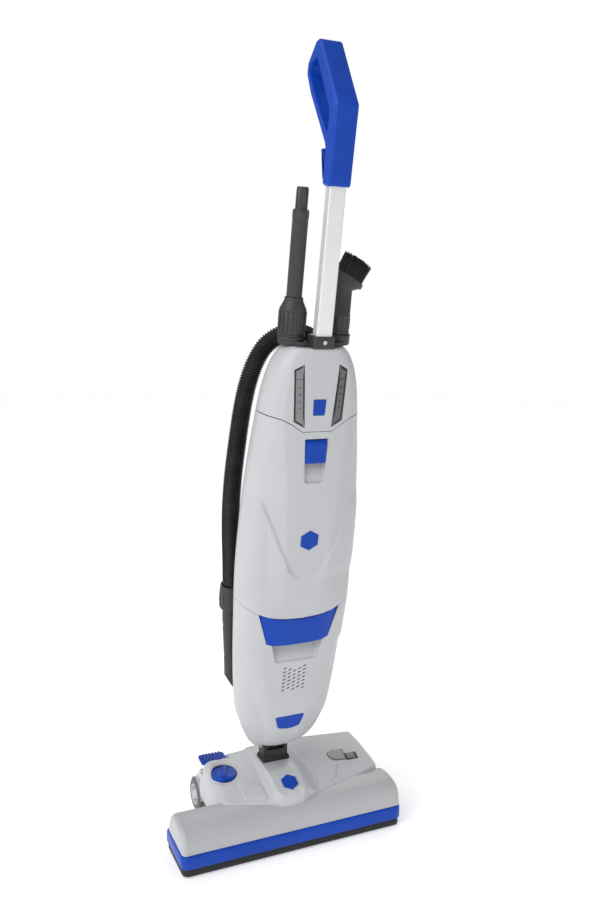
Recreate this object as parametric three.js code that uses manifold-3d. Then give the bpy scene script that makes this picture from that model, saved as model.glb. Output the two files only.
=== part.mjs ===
// Battery upright vacuum cleaner: a powered nozzle base, a body that reclines on it, and a stick handle.
// Millimetres, +X right, +Y back, +Z up. The origin is on the floor, under the middle of the machine.
import * as THREE from "three";
import { mergeVertices } from "three/addons/utils/BufferGeometryUtils.js";
import Module from "manifold-3d";

// ---- driving dimensions -------------------------------------------------------------------------
const GAP = 0.4;                 // running and assembly clearance
const WALL = 3;                  // moulded shell thickness
const BASE_HALF = 215;           // half the nozzle's width
const NOSE_Y = -46;              // front line of the bumper
const NOZZLE_REAR_Y = 54;        // rear line of the nozzle
const BUMPER_Z = [17, 41.5];     // blue bumper band
const SKIRT_Z = 3;               // underside of the rubber skirt
const BLOCK_X = [-127, 197];     // rear block of the base
const BRUSH = { y: -4, z: 30, core: 17, tip: 27.5, half: 184, pulley: 9 };
const TUNNEL_R = 31;
const WHEEL = { y: 166, r: 30, hub: 20, width: 18, left: -121, right: 168 };
const PULLEY_X = [168, 176];      // belt pulleys on the brush roll and its motor
const ROLLER = { y: -28, r: 8, x: 200, width: 9 };
const LEAN = THREE.MathUtils.degToRad(10.84);   // the locked body leans forward
const BODY_Y = 60.3;             // foot of the body's axis on the base
const BODY_Z = 125.1;
const PIVOT = { v: -20, u: 24 }; // recline axis in the body's own frame
const FRONT_POWER = 3;           // how square the body's section is in front
const REAR_POWER = 2.3;          // and behind
const SPLIT_V = -8;              // front covers end here
const TUBE = { half: 13.6, front: 38, back: 20.7, low: 764, high: 1120 };
const WAND = { x: -39, v: -4 };
const DUSTER = { x: 43, v: -4 };
const HOSE_R = 16;
const DUCT = { v: -60, r: 13 };

const PIVOT_Y = BODY_Y - PIVOT.u * Math.sin(LEAN) - PIVOT.v * Math.cos(LEAN);
const PIVOT_Z = BODY_Z + PIVOT.u * Math.cos(LEAN) - PIVOT.v * Math.sin(LEAN);

// Stations of the body: height u, half width, front depth, rear depth.
const STATIONS = [
  [45, 42, 14, 38], [56, 57, 24, 48], [75, 68, 34, 54], [98, 78, 39, 57], [130, 88, 42, 59],
  [200, 96, 43, 60], [300, 102, 46.5, 60], [417, 106, 51, 60], [500, 104, 53, 60],
  [590, 98, 49, 59], [660, 91, 45, 56], [720, 83, 43, 52], [762, 72, 41.5, 47],
  [786, 59, 40, 41], [797, 48, 39.5, 34],
];

// Centre line of the free hose in the body's frame: x, v, u, from the cuff to the inlet elbow.
const HOSE_ROUTE = [
  [-90.5, -60, 352.4], [-92, -60, 372], [-94, -60, 400], [-98, -59.5, 445], [-101, -59, 500],
  [-101, -58.5, 550], [-99, -58, 595], [-96, -57.5, 640], [-92, -57, 684], [-86, -56, 722],
  [-76, -55, 756], [-61, -54, 783], [-40, -53, 799], [-16, -53, 805], [8, -54, 802],
  [28, -57, 791], [41, -62, 774], [47, -65, 752], [47, -65, 732.4],
];

// ---- materials ----------------------------------------------------------------------------------
function finish(color, roughness, metalness = 0) {
  return new THREE.MeshStandardMaterial({ color, roughness, metalness });
}

const LOOK = {
  shell: finish(0xc9ccd0, 0.45),
  blue: finish(0x1f4fae, 0.35),
  dark: finish(0x3f4246, 0.5),
  black: finish(0x17181a, 0.6),
  rubber: finish(0x1b1b1d, 0.85),
  smoke: finish(0x4a4d50, 0.2),
  tube: finish(0xdcdad9, 0.3, 0.6),
  steel: finish(0xb0b3b6, 0.35, 0.9),
  alloy: finish(0x9da1a5, 0.4, 0.8),
  bristle: finish(0x101011, 0.9),
  tyre: finish(0x77797b, 0.8),
  paper: finish(0xd8d2c2, 0.95),
  board: finish(0x1d5a35, 0.6),
};

// ---- solids -------------------------------------------------------------------------------------
const wasm = await Module();
wasm.setup();

function toSolid(geometry) {
  const bare = geometry.clone();
  bare.deleteAttribute("normal");
  bare.deleteAttribute("uv");
  const merged = mergeVertices(bare, 1e-4);
  return new wasm.Manifold(new wasm.Mesh({
    numProp: 3,
    vertProperties: new Float32Array(merged.attributes.position.array),
    triVerts: new Uint32Array(merged.index.array),
  }));
}

function toGeometry(solid) {
  const mesh = solid.getMesh();
  const geometry = new THREE.BufferGeometry();
  geometry.setAttribute("position", new THREE.BufferAttribute(mesh.vertProperties, 3));
  geometry.setIndex(new THREE.BufferAttribute(mesh.triVerts, 1));
  geometry.computeVertexNormals();
  return geometry;
}

function join(...solids) {
  return solids.reduce((all, next) => all.add(next));
}

function cut(solid, ...tools) {
  return tools.reduce((rest, tool) => rest.subtract(tool), solid);
}

function block([x0, x1], [y0, y1], [z0, z1]) {
  const geometry = new THREE.BoxGeometry(x1 - x0, y1 - y0, z1 - z0);
  geometry.translate((x0 + x1) / 2, (y0 + y1) / 2, (z0 + z1) / 2);
  return toSolid(geometry);
}

function extruded(shape, depth) {
  return new THREE.ExtrudeGeometry(shape, { depth, bevelEnabled: false, curveSegments: 5 });
}

function outline(points) {
  return new THREE.Shape(points.map(([a, b]) => new THREE.Vector2(a, b)));
}

// A prism whose outline is seen from above, from the side or from the front.
function prismZ(shape, [z0, z1]) {
  const geometry = extruded(shape, z1 - z0);
  geometry.translate(0, 0, z0);
  return toSolid(geometry);
}

function prismX(shape, [x0, x1]) {
  const geometry = extruded(shape, x1 - x0);
  geometry.applyMatrix4(new THREE.Matrix4().set(0, 0, 1, x0, 1, 0, 0, 0, 0, 1, 0, 0, 0, 0, 0, 1));
  return toSolid(geometry);
}

function prismY(shape, [y0, y1]) {
  const geometry = extruded(shape, y1 - y0);
  geometry.applyMatrix4(new THREE.Matrix4().set(1, 0, 0, 0, 0, 0, -1, y1, 0, 1, 0, 0, 0, 0, 0, 1));
  return toSolid(geometry);
}

// A solid of revolution about Z from its (radius, height) profile.
function turned(profile, sides = 24) {
  const points = profile.map(([r, z]) => new THREE.Vector2(r, z));
  const geometry = new THREE.LatheGeometry(points, sides);
  geometry.rotateX(Math.PI / 2);
  return toSolid(geometry);
}

function rod(radius, length, sides = 24) {
  return turned([[0, 0], [radius, 0], [radius, length], [0, length]], sides);
}

function ring(inner, outer, length, sides = 24) {
  const profile = [[inner, 0], [outer, 0], [outer, length], [inner, length], [inner, 0]];
  return turned(profile, sides);
}

function alongX(solid, x, y, z) {
  return solid.rotate([0, 90, 0]).translate([x, y, z]);
}

function alongY(solid, x, y, z) {
  return solid.rotate([-90, 0, 0]).translate([x, y, z]);
}

// A closed skin over rings that all have the same number of points.
function loft(rings) {
  const count = rings[0].length;
  const positions = rings.flat(2);
  const index = [];
  for (let r = 0; r + 1 < rings.length; r += 1) {
    for (let k = 0; k < count; k += 1) {
      const a = r * count + k;
      const b = r * count + (k + 1) % count;
      index.push(a, b, a + count, b, b + count, a + count);
    }
  }
  const last = (rings.length - 1) * count;
  for (let k = 1; k + 1 < count; k += 1) {
    index.push(0, k + 1, k);
    index.push(last, last + k, last + k + 1);
  }
  const geometry = new THREE.BufferGeometry();
  geometry.setAttribute("position", new THREE.Float32BufferAttribute(positions, 3));
  geometry.setIndex(index);
  return toSolid(geometry);
}

// ---- assembly -----------------------------------------------------------------------------------
const machine = new THREE.Group();
const base = new THREE.Group();
const body = new THREE.Group();
body.position.set(0, BODY_Y, BODY_Z);
body.rotation.x = LEAN;
machine.add(base, body);

function addPart(parent, name, solid, material) {
  const mesh = new THREE.Mesh(toGeometry(solid), material);
  mesh.name = name;
  parent.add(mesh);
}

// ---- base: nozzle -------------------------------------------------------------------------------
// U-shaped outline around the nozzle, inset from the bumper's face.
function nozzleOutline(inset, corner) {
  const half = BASE_HALF - inset;
  const front = NOSE_Y + inset;
  const shape = new THREE.Shape();
  shape.moveTo(half, NOZZLE_REAR_Y);
  shape.lineTo(-half, NOZZLE_REAR_Y);
  shape.lineTo(-half, front + corner);
  shape.absarc(-half + corner, front + corner, corner, Math.PI, Math.PI * 1.5, false);
  shape.absarc(half - corner, front + corner, corner, Math.PI * 1.5, Math.PI * 2, false);
  shape.closePath();
  return shape;
}

function band(inset, thickness, corner, heights) {
  const rear = NOZZLE_REAR_Y + 1;
  const inner = prismZ(nozzleOutline(inset + thickness, corner - thickness), [heights[0] - 1, heights[1] + 1]);
  const half = BASE_HALF - inset - thickness;
  const mouth = block([-half, half], [NOZZLE_REAR_Y - 1, rear], [heights[0] - 1, heights[1] + 1]);
  return cut(prismZ(nozzleOutline(inset, corner), heights), inner, mouth);
}

function hoodProfile(inset) {
  const points = [
    [-43, 42], [-40, 60], [-34, 73], [-22, 81], [-4, 85], [18, 85.5],
    [32, 81], [43, 69], [51, 52], [53, 42],
  ];
  const middle = new THREE.Vector2(4, 40);
  return outline(points.map(([y, z]) => {
    const out = new THREE.Vector2(y, z).sub(middle);
    const length = out.length();
    return [middle.x + out.x * (length - inset) / length, z <= 42 ? z : middle.y + out.y * (length - inset) / length];
  }));
}

function hoodSolid(inset, half) {
  return prismX(hoodProfile(inset), [-half, half]);
}

function makeHood() {
  const outer = hoodSolid(0, BASE_HALF - 2);
  const under = block([-250, 250], [-100, 100], [0, 42.1]);
  const hollow = join(hoodSolid(WALL, BASE_HALF - 2 - WALL), block([-210, 210], [-39.5, 49.5], [41, 46]));
  const beltGap = block([PULLEY_X[0] - 3, PULLEY_X[1] + 3], [40, 60], [40, 58]);
  return cut(outer, hollow, under, beltGap);
}

function makeChassis() {
  const front = prismZ(nozzleOutline(6.4, 7), [8, 41]);
  const tray = block([BLOCK_X[0] + 4, BLOCK_X[1] - 4], [NOZZLE_REAR_Y - 4, 132], [12, 41]);
  const trayHollow = block([BLOCK_X[0] + 7, BLOCK_X[1] - 7], [NOZZLE_REAR_Y + 3, 129], [15, 50]);
  const tunnel = alongX(rod(TUNNEL_R, 2 * 190, 28), -190, BRUSH.y, BRUSH.z);
  const dryEnds = [-1, 1].map((side) => {
    const x = side * ROLLER.x;
    return block([x - 5.5, x + 5.5], [ROLLER.y - 9, ROLLER.y + 9], [0, 19]);
  });
  const beltBay = block([160, 186], [20, 70], [15, 50]);
  const rearX = [WHEEL.left + WHEEL.width / 2 + 4, WHEEL.right - WHEEL.width / 2 - 4];
  const rearBox = prismX(outline([[128, 14], [182, 14], [188, 24], [186, 44], [172, 62], [159, 66], [159, 41], [128, 41]]), rearX);
  const rearHollow = block([rearX[0] + 3, rearX[1] - 3], [120, 181], [17, 40]);
  const bore = alongX(rod(4.3, 400, 16), -200, WHEEL.y, WHEEL.r);
  const carriageSlots = [-1, 1].map((side) => block([side * 187 - 5, side * 187 + 5], [-22, 14], [10, 50]));
  return cut(
    join(front, tray, rearBox), tunnel, trayHollow, rearHollow, beltBay, bore, ...dryEnds, ...carriageSlots,
  );
}

function makeRoller(side) {
  const x = side * ROLLER.x - ROLLER.width / 2;
  return alongX(rod(ROLLER.r, ROLLER.width, 20), x, ROLLER.y, ROLLER.r);
}

addPart(base, "base_chassis", makeChassis(), LOOK.black);
addPart(base, "front_bumper", band(0, 6, 14, BUMPER_Z), LOOK.blue);
addPart(base, "rubber_skirt", band(3, 3, 11, [SKIRT_Z, BUMPER_Z[0] - GAP]), LOOK.rubber);
addPart(base, "nozzle_hood", makeHood(), LOOK.shell);
addPart(base, "front_roller_left", makeRoller(-1), LOOK.dark);
addPart(base, "front_roller_right", makeRoller(1), LOOK.dark);

// ---- base: top cover ----------------------------------------------------------------------------
function along(table, x) {
  const last = table.length - 1;
  if (x <= table[0][0]) return table[0][1];
  if (x >= table[last][0]) return table[last][1];
  const k = table.findIndex(([at]) => at > x) - 1;
  const [[x0, y0], [x1, y1]] = [table[k], table[k + 1]];
  return y0 + (y1 - y0) * (x - x0) / (x1 - x0);
}

const COVER_FRONT = [
  [-127, 30], [-118, 14], [-85, 1], [-34, -16], [-18, -23], [0, -25], [18, -24], [34, -18], [140, 13], [197, 27],
];
const COVER_REAR = [[-127, 134], [-68, 142], [0, 150], [197, 156]];
const COVER_COLUMNS = [-127, -118, -85, -60, -44, -34, -24, -18, 0, 18, 32, 44, 90, 140, 170, 197];
const COVER_ROWS = 7;

// Height of the cover: wings that rise to the back, a raised spine, and a lower right end.
function coverHeight(x, y) {
  const front = along(COVER_FRONT, x);
  const t = THREE.MathUtils.clamp((y - front) / (along(COVER_REAR, x) - front), 0, 1);
  const rear = t > 0.85 ? 9 * ((t - 0.85) / 0.15) ** 2 : 0;
  const wing = 87 + 34 * Math.sin(Math.PI / 2 * t) * (x > 90 ? 1 - 0.35 * (x - 90) / 107 : 1);
  const edge = x > 150 ? 9 * (x - 150) / 47 * (1 - t) : 0;
  const ridge = 125 - 18 * THREE.MathUtils.clamp((30 - y) / 50, 0, 1) ** 1.3;
  const spine = 1 - THREE.MathUtils.smoothstep(Math.abs(x), 24, 44);
  return Math.max(wing + edge, wing + (ridge - wing) * spine) - rear;
}

function coverSolid(inset, floor) {
  const low = COVER_COLUMNS[0] + inset;
  const high = COVER_COLUMNS[COVER_COLUMNS.length - 1] - inset;
  const columns = COVER_COLUMNS.map((x) => THREE.MathUtils.clamp(x, low, high));
  return loft(columns.map((x) => {
    const front = along(COVER_FRONT, x) + inset;
    const rear = along(COVER_REAR, x) - inset;
    const ringPoints = [[x, rear, floor], [x, front, floor]];
    for (let k = 0; k <= COVER_ROWS; k += 1) {
      const y = front + (rear - front) * k / COVER_ROWS;
      ringPoints.push([x, y, coverHeight(x, y) - inset]);
    }
    return ringPoints.reverse();
  }));
}

const KNOB = { x: -97, y: 80, r: 23 };
const PEDAL = { x: [-127, -75], y: [118, 156], z: 116 };

function makeCover() {
  const skin = cut(coverSolid(0, 42), coverSolid(WALL, 20));
  const hoodRoom = hoodSolid(-GAP, BASE_HALF);
  const underHood = block([-250, 250], [-100, NOZZLE_REAR_Y], [0, 60]);
  const neckHole = block([-24.6, 24.6], [PIVOT_Y - 14.6, PIVOT_Y + 14.6], [60, 140]);
  const wheelArch = block([WHEEL.right - 12, WHEEL.right + 12], [WHEEL.y - WHEEL.r - 3, 200], [0, 64]);
  const knobHole = rod(KNOB.r + 1, 80).translate([KNOB.x, KNOB.y, 60]);
  const pedalBay = block([-140, PEDAL.x[1] + 1], [PEDAL.y[0] - 2, 170], [92, 140]);
  return cut(skin, hoodRoom, underHood, neckHole, wheelArch, knobHole, pedalBay);
}

function makeKnob() {
  const top = coverHeight(KNOB.x, KNOB.y);
  const dial = turned([[0, 0], [KNOB.r, 0], [KNOB.r, 7], [KNOB.r - 2, 9], [0, 9]], 28);
  const grip = block([-4, 4], [-19, 19], [8.5, 13]);
  const stem = rod(6, 30).translate([0, 0, -29.5]);
  const flat = block([-30, 30], [-30, -20], [-1, 14]);
  return cut(join(dial, grip, stem), flat).translate([KNOB.x, KNOB.y, top - 10.5]);
}

function makePedal() {
  const pad = block(PEDAL.x, PEDAL.y, [PEDAL.z - 6, PEDAL.z]);
  const arm = block([-110, -96], [PEDAL.y[0] + 0.5, PEDAL.y[0] + 18], [96, PEDAL.z - 5]);
  const eye = alongX(rod(6, 14, 16), -110, PEDAL.y[0] + 7, 98);
  const bore = alongX(rod(3.3, 20, 16), -113, PEDAL.y[0] + 7, 98);
  const ribs = [0, 1, 2, 3].map((k) => {
    const x = PEDAL.x[0] + 8 + k * 12;
    return block([x, x + 4], [PEDAL.y[0] + 3, PEDAL.y[1] - 3], [PEDAL.z - 1, PEDAL.z + 2]);
  });
  return cut(join(pad, arm, eye, ...ribs), bore);
}

function hexagon(radius) {
  const corners = [0, 1, 2, 3, 4, 5].map((k) => Math.PI / 2 + k * Math.PI / 3);
  return outline(corners.map((a) => [radius * Math.cos(a), radius * Math.sin(a)]));
}

function makeBaseBadge() {
  return prismZ(hexagon(16.5), [0, 2]).rotate([23, 0, 0]).translate([0, -5, 116]);
}

function onCover(x, y, size, lift) {
  const centre = coverHeight(x, y);
  const slope = Math.atan2(coverHeight(x, y + 4) - coverHeight(x, y - 4), 8) * 180 / Math.PI;
  const roll = Math.atan2(coverHeight(x + 4, y) - coverHeight(x - 4, y), 8) * 180 / Math.PI;
  return block([-size[0] / 2, size[0] / 2], [-size[1] / 2, size[1] / 2], [0, size[2]])
    .rotate([slope, -roll, 0]).translate([x, y, centre + lift]);
}

addPart(base, "top_cover", makeCover(), LOOK.shell);
addPart(base, "height_knob", makeKnob(), LOOK.blue);
addPart(base, "release_pedal", makePedal(), LOOK.blue);
addPart(base, "pedal_pin", alongX(rod(3, 34, 16), -120, PEDAL.y[0] + 7, 98), LOOK.steel);
addPart(base, "base_badge", makeBaseBadge(), LOOK.blue);
addPart(base, "status_window", onCover(131, 70, [34, 14, 2], 1.2), LOOK.smoke);
addPart(base, "service_latch", onCover(159, 62, [18, 11, 2.5], 2.4), LOOK.dark);

// ---- base: wheels and brush drive ---------------------------------------------------------------
function makeHub(x) {
  const hub = cut(rod(WHEEL.hub, WHEEL.width, 24), rod(4.3, WHEEL.width, 12));
  const dish = ring(9, 17, 5, 16);
  return alongX(cut(hub, dish, dish.translate([0, 0, WHEEL.width - 5])), x - WHEEL.width / 2, WHEEL.y, WHEEL.r);
}

function makeTyre(x) {
  const inner = WHEEL.hub + GAP;
  const profile = [[inner, 0], [27, 0], [WHEEL.r, 3], [WHEEL.r, 15], [27, WHEEL.width], [inner, WHEEL.width], [inner, 0]];
  return alongX(turned(profile, 28), x - WHEEL.width / 2, WHEEL.y, WHEEL.r);
}

for (const side of ["left", "right"]) {
  addPart(base, `wheel_hub_${side}`, makeHub(WHEEL[side]), LOOK.shell);
  addPart(base, `tyre_${side}`, makeTyre(WHEEL[side]), LOOK.tyre);
}
const axleLength = WHEEL.right - WHEEL.left + WHEEL.width - 2;
const axleStart = WHEEL.left - WHEEL.width / 2 + 1;
addPart(base, "rear_axle", alongX(rod(4, axleLength, 16), axleStart, WHEEL.y, WHEEL.r), LOOK.steel);

const MOTOR = { x: [40, 160], y: 90, z: 42, r: 25 };

function makeBrushRoll() {
  const core = rod(BRUSH.core, 2 * BRUSH.half - 36, 16).translate([0, 0, 14]);
  const pulley = rod(BRUSH.pulley, 10, 16).translate([0, 0, BRUSH.half + PULLEY_X[0] - 1]);
  const shaft = rod(4, 2 * BRUSH.half + 4, 12).translate([0, 0, -2]);
  const rows = [0, 1, 2, 3].map((k) => {
    const row = block([-3, 3], [BRUSH.core - 2, BRUSH.tip], [16, 2 * BRUSH.half - 26]);
    return row.rotate([0, 0, 90 * k]);
  });
  return alongX(join(core, pulley, shaft, ...rows), -BRUSH.half, BRUSH.y, BRUSH.z);
}

function makeCarriage() {
  const cheeks = [-1, 1].map((side) => block([side * 187.5 - 1.8, side * 187.5 + 1.8], [-16, 8], [23, 44]));
  const bores = [-1, 1].map((side) => alongX(rod(4.5, 8, 12), side * 187.5 - 4, BRUSH.y, BRUSH.z));
  const bar = block([-189.3, 189.3], [-14, 4], [66, 70]);
  const uprights = [-1, 1].map((side) => block([side * 187.5 - 1.8, side * 187.5 + 1.8], [-14, 4], [42, 68]));
  return cut(join(...cheeks, bar, ...uprights), ...bores);
}

function makeBelt() {
  const y = [BRUSH.y, MOTOR.y];
  const z = [BRUSH.z, MOTOR.z];
  const reach = Math.hypot(y[1] - y[0], z[1] - z[0]);
  const loop = (front, rear) => join(
    rod(front, 6), rod(rear, 6).translate([reach, 0, 0]),
    prismZ(outline([[0, -front], [reach, -rear], [reach, rear], [0, front]]), [0, 6]),
  );
  const belt = cut(loop(14, 10), loop(12.6, 8.4).scale([1, 1, 3]).translate([0, 0, -6]));
  const tilt = Math.atan2(z[1] - z[0], y[1] - y[0]) * 180 / Math.PI;
  return belt.rotate([0, 0, tilt]).rotate([90, 0, 90]).translate([PULLEY_X[0] + 1, y[0], z[0]]);
}

function makePulley(radius, bore, y, z) {
  const wheel = cut(rod(radius, PULLEY_X[1] - PULLEY_X[0], 24), rod(bore, 20, 12).translate([0, 0, -5]));
  return alongX(wheel, PULLEY_X[0], y, z);
}

const motorShaft = rod(3, 22, 12).translate([0, 0, MOTOR.x[1] - MOTOR.x[0] - 1]);
const brushMotor = join(rod(MOTOR.r, MOTOR.x[1] - MOTOR.x[0], 24), motorShaft);
addPart(base, "brush_roll", makeBrushRoll(), LOOK.bristle);
addPart(base, "brush_carriage", makeCarriage(), LOOK.dark);
addPart(base, "brush_motor", alongX(brushMotor, MOTOR.x[0], MOTOR.y, MOTOR.z), LOOK.steel);
addPart(base, "motor_pulley", makePulley(8, 3.3, MOTOR.y, MOTOR.z), LOOK.alloy);
addPart(base, "drive_belt", makeBelt(), LOOK.rubber);

// ---- neck ---------------------------------------------------------------------------------------
function makeYoke() {
  const foot = block([-24, 24], [PIVOT_Y - 14, PIVOT_Y + 14], [84, 134]);
  const ears = [-1, 1].map((side) => join(
    block([side * 20 - 4, side * 20 + 4], [PIVOT_Y - 13, PIVOT_Y + 13], [133, PIVOT_Z]),
    alongX(rod(13, 8, 24), side * 20 - 4, PIVOT_Y, PIVOT_Z),
  ));
  const bore = alongX(rod(4.3, 60, 16), -30, PIVOT_Y, PIVOT_Z);
  return cut(join(foot, ...ears), bore);
}

const collar = cut(
  block([-27.5, 27.5], [PIVOT_Y - 17, PIVOT_Y + 17], [127, 133]),
  block([-24.4, 24.4], [PIVOT_Y - 14.4, PIVOT_Y + 14.4], [120, 140]),
);
addPart(base, "neck_yoke", makeYoke(), LOOK.black);
addPart(base, "neck_collar", collar, LOOK.rubber);
addPart(base, "pivot_pin", alongX(rod(4, 50, 16), -25, PIVOT_Y, PIVOT_Z), LOOK.steel);

// ---- body shells --------------------------------------------------------------------------------
function sectionPoint(angle, half, front, rear) {
  const c = Math.cos(angle);
  const s = Math.sin(angle);
  const power = 2 / (s > 0 ? FRONT_POWER : REAR_POWER);
  const x = half * Math.sign(c) * Math.abs(c) ** power;
  const v = (s > 0 ? front : rear) * Math.sign(s) * Math.abs(s) ** power;
  return [x, v];
}

const SECTION_POINTS = 28;

function bodyForm(inset) {
  const low = STATIONS[0][0] + inset;
  const high = STATIONS[STATIONS.length - 1][0] - inset;
  return loft(STATIONS.map(([u, half, front, rear]) => {
    const points = [];
    for (let k = 0; k < SECTION_POINTS; k += 1) {
      const angle = -2 * Math.PI * k / SECTION_POINTS;
      const [x, v] = sectionPoint(angle, half - inset, front - inset, rear - inset);
      points.push([x, -v, THREE.MathUtils.clamp(u, low, high)]);
    }
    return points;
  }));
}

const shell = cut(bodyForm(0), bodyForm(WALL));

// A region of the shell by its outline from the front, between two depths v.
function region(points, [v0, v1]) {
  return prismY(outline(points), [-v1, -v0]);
}

const FAR = 150;
const TOP_SEAM = [[-FAR, 700], [-60, 684], [-44, 676], [-26, 664], [26, 664], [44, 676], [60, 684], [FAR, 700]];
const DOOR_SEAM = [[-FAR, 384], [-104, 356], [-78, 342], [-40, 331], [0, 328], [40, 331], [78, 342], [104, 356], [FAR, 384]];
const LATCH_TOP = [[-76.5, 341.4], [-40, 330.2], [0, 327.2], [40, 330.2], [76.5, 341.4]];
const LATCH_LOW = [[57.8, 283], [40, 279], [0, 277], [-40, 279], [-57.8, 283]];

function above(seam, lift) {
  return [...seam.map(([x, u]) => [x, u + lift]), [FAR, 900], [-FAR, 900]];
}

function below(seam, drop) {
  return [[-FAR, 20], [FAR, 20], ...seam.map(([x, u]) => [x, u - drop]).reverse()];
}

const depthAll = [-100, 100];
const depthFront = [SPLIT_V + GAP, 100];
const topPart = region(above(TOP_SEAM, GAP), depthAll);
const doorPart = region(above(DOOR_SEAM, GAP), depthFront)
  .intersect(region(below(TOP_SEAM.map(([x, u]) => [x, u - Math.abs(x) / 90]), 0), depthFront));
const lowerPart = region(below(DOOR_SEAM, 0), depthFront);
const keepOut = join(
  region(above(TOP_SEAM, 0), depthAll), region([[-FAR, 0], [FAR, 0], [FAR, 900], [-FAR, 900]], [SPLIT_V, 100]),
);

// An open-fronted pocket, narrower at the bottom.
function pocket(top, low, halfTop, halfLow, v0, v1, wall) {
  const grow = (g) => [[-halfTop - g, top + g], [-halfLow - g, low - g], [halfLow + g, low - g], [halfTop + g, top + g]];
  return { outer: region(grow(wall), [v0 - wall, v1]), inner: region(grow(0), [v0, 100]) };
}

const doorPocket = pocket(651, 578, 20.5, 17.5, 30, 56, 2);
const latchPocket = pocket(276, 243, 47.5, 38.4, 26, 56, 2);
const foot = [[-28.8, 128], [28.8, 128], [21, 103], [0, 98], [-21, 103]];

function slotGrid() {
  const slots = [];
  for (let column = -2; column <= 2; column += 1) {
    for (let row = 0; row < 3; row += 1) {
      const u = 222 - row * 14 - (column % 2 ? 7 : 0);
      slots.push(block([column * 10 - 3, column * 10 + 3], [-60, -30], [u - 2.5, u + 2.5]));
    }
  }
  return slots;
}

function makeDoor() {
  const skin = join(shell.intersect(doorPart), doorPocket.outer.intersect(bodyForm(0.5)));
  return cut(skin, doorPocket.inner);
}

function makeLowerCover() {
  const cover = join(shell.intersect(lowerPart), latchPocket.outer.intersect(bodyForm(0.5)));
  const latchRoom = region([...LATCH_TOP.map(([x, u]) => [x * 1.03, u + 3]), ...LATCH_LOW.map(([x, u]) => [x * 1.02, u - GAP])], [36, 100]);
  const neckRoom = block([-25, 25], [-60, 60], [40, 52]);
  return cut(cover, latchPocket.inner, latchRoom, neckRoom, ...slotGrid());
}

function makeRearShell() {
  const neckRoom = block([-25, 25], [-60, 60], [40, 52]);
  const inlet = rod(HOSE_R - 2, 30, 20).translate([47, 45, 690]);
  return cut(shell, keepOut, neckRoom, inlet);
}

function makeFilterLatch() {
  const panel = region([...LATCH_TOP, ...LATCH_LOW], [36.4, 100]).intersect(bodyForm(-0.6));
  return cut(panel, bodyForm(WALL));
}

function makeTopHousing() {
  const windows = [-1, 1].map((side) => region(windowOutline(side, 0), [20, 100]));
  const button = region([[-11.5, 717.5], [-10.5, 690.5], [10.5, 690.5], [11.5, 717.5]], [20, 100]);
  const socket = block([-TUBE.half - GAP, TUBE.half + GAP], [-TUBE.front - GAP, -TUBE.back + GAP], [TUBE.low - 1, 900]);
  const sleeve = block([-TUBE.half - 3.5, TUBE.half + 3.5], [-TUBE.front - 3, -TUBE.back + 3.5], [TUBE.low - 4, 797]);
  return cut(join(shell.intersect(topPart), sleeve), ...windows, button, socket);
}

function windowOutline(side, inset) {
  const points = [[42.4 - inset, 682 + inset], [23.5 + inset, 671 + inset * 2], [30.6 + inset, 773 - inset], [46.2 - inset, 764 - inset]];
  return points.map(([x, u]) => [side * x, u]);
}

function makeWindow(side) {
  return cut(region(windowOutline(side, GAP), [20, 100]).intersect(bodyForm(0.6)), bodyForm(WALL + 0.4));
}

const tongue = join(
  block([-15.6, 15.6], [-PIVOT.v - 11, -PIVOT.v + 11], [PIVOT.u, 60]),
  alongX(rod(11.5, 31.2, 24), -15.6, -PIVOT.v, PIVOT.u),
  block([-24, 24], [-PIVOT.v - 12, -PIVOT.v + 10], [45.5, 64]),
);
const tongueBore = alongX(rod(4.3, 60, 16), -30, -PIVOT.v, PIVOT.u);
const buttonCap = region([[-11, 717], [-10, 691], [10, 691], [11, 717]], [34, 100]).intersect(bodyForm(0.4));
const doorLatch = region([[-19.5, 650], [-18.6, 611], [18.6, 611], [19.5, 650]], [34, 100]).intersect(bodyForm(0.8));
const bodyBadge = cut(region(hexagon(18).getPoints().map((p) => [p.x, p.y + 477]), [45, 100])
  .intersect(bodyForm(-1.6)), bodyForm(-0.3));
const footBadge = cut(region(foot, [20, 100]).intersect(bodyForm(-1.4)), bodyForm(-0.3));

addPart(body, "neck_tongue", cut(tongue, tongueBore), LOOK.black);
addPart(body, "rear_shell", makeRearShell(), LOOK.shell);
addPart(body, "lower_front_cover", makeLowerCover(), LOOK.shell);
addPart(body, "filter_latch", makeFilterLatch(), LOOK.blue);
addPart(body, "bag_door", makeDoor(), LOOK.shell);
addPart(body, "bag_door_latch", doorLatch, LOOK.blue);
addPart(body, "body_badge", bodyBadge, LOOK.blue);
addPart(body, "foot_badge", footBadge, LOOK.blue);
addPart(body, "top_housing", makeTopHousing(), LOOK.shell);
addPart(body, "display_window_left", makeWindow(-1), LOOK.smoke);
addPart(body, "display_window_right", makeWindow(1), LOOK.smoke);
addPart(body, "power_button", buttonCap, LOOK.blue);

// ---- body internals -----------------------------------------------------------------------------
const motorCan = rod(34, 70, 24).translate([0, 6, 80]);
const motorSpindle = rod(4, 14, 12).translate([0, 6, 149]);

function makeFan() {
  const disc = rod(33, 3, 20);
  const blades = [0, 1, 2, 3, 4, 5, 6].map((k) => block([8, 32], [-1.2, 1.2], [2.5, 10]).rotate([0, 0, k * 360 / 7]));
  const bore = rod(4.3, 20, 12).translate([0, 0, -5]);
  return cut(join(disc, rod(9, 11, 16), ...blades), bore).translate([0, 6, 152]);
}

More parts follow.
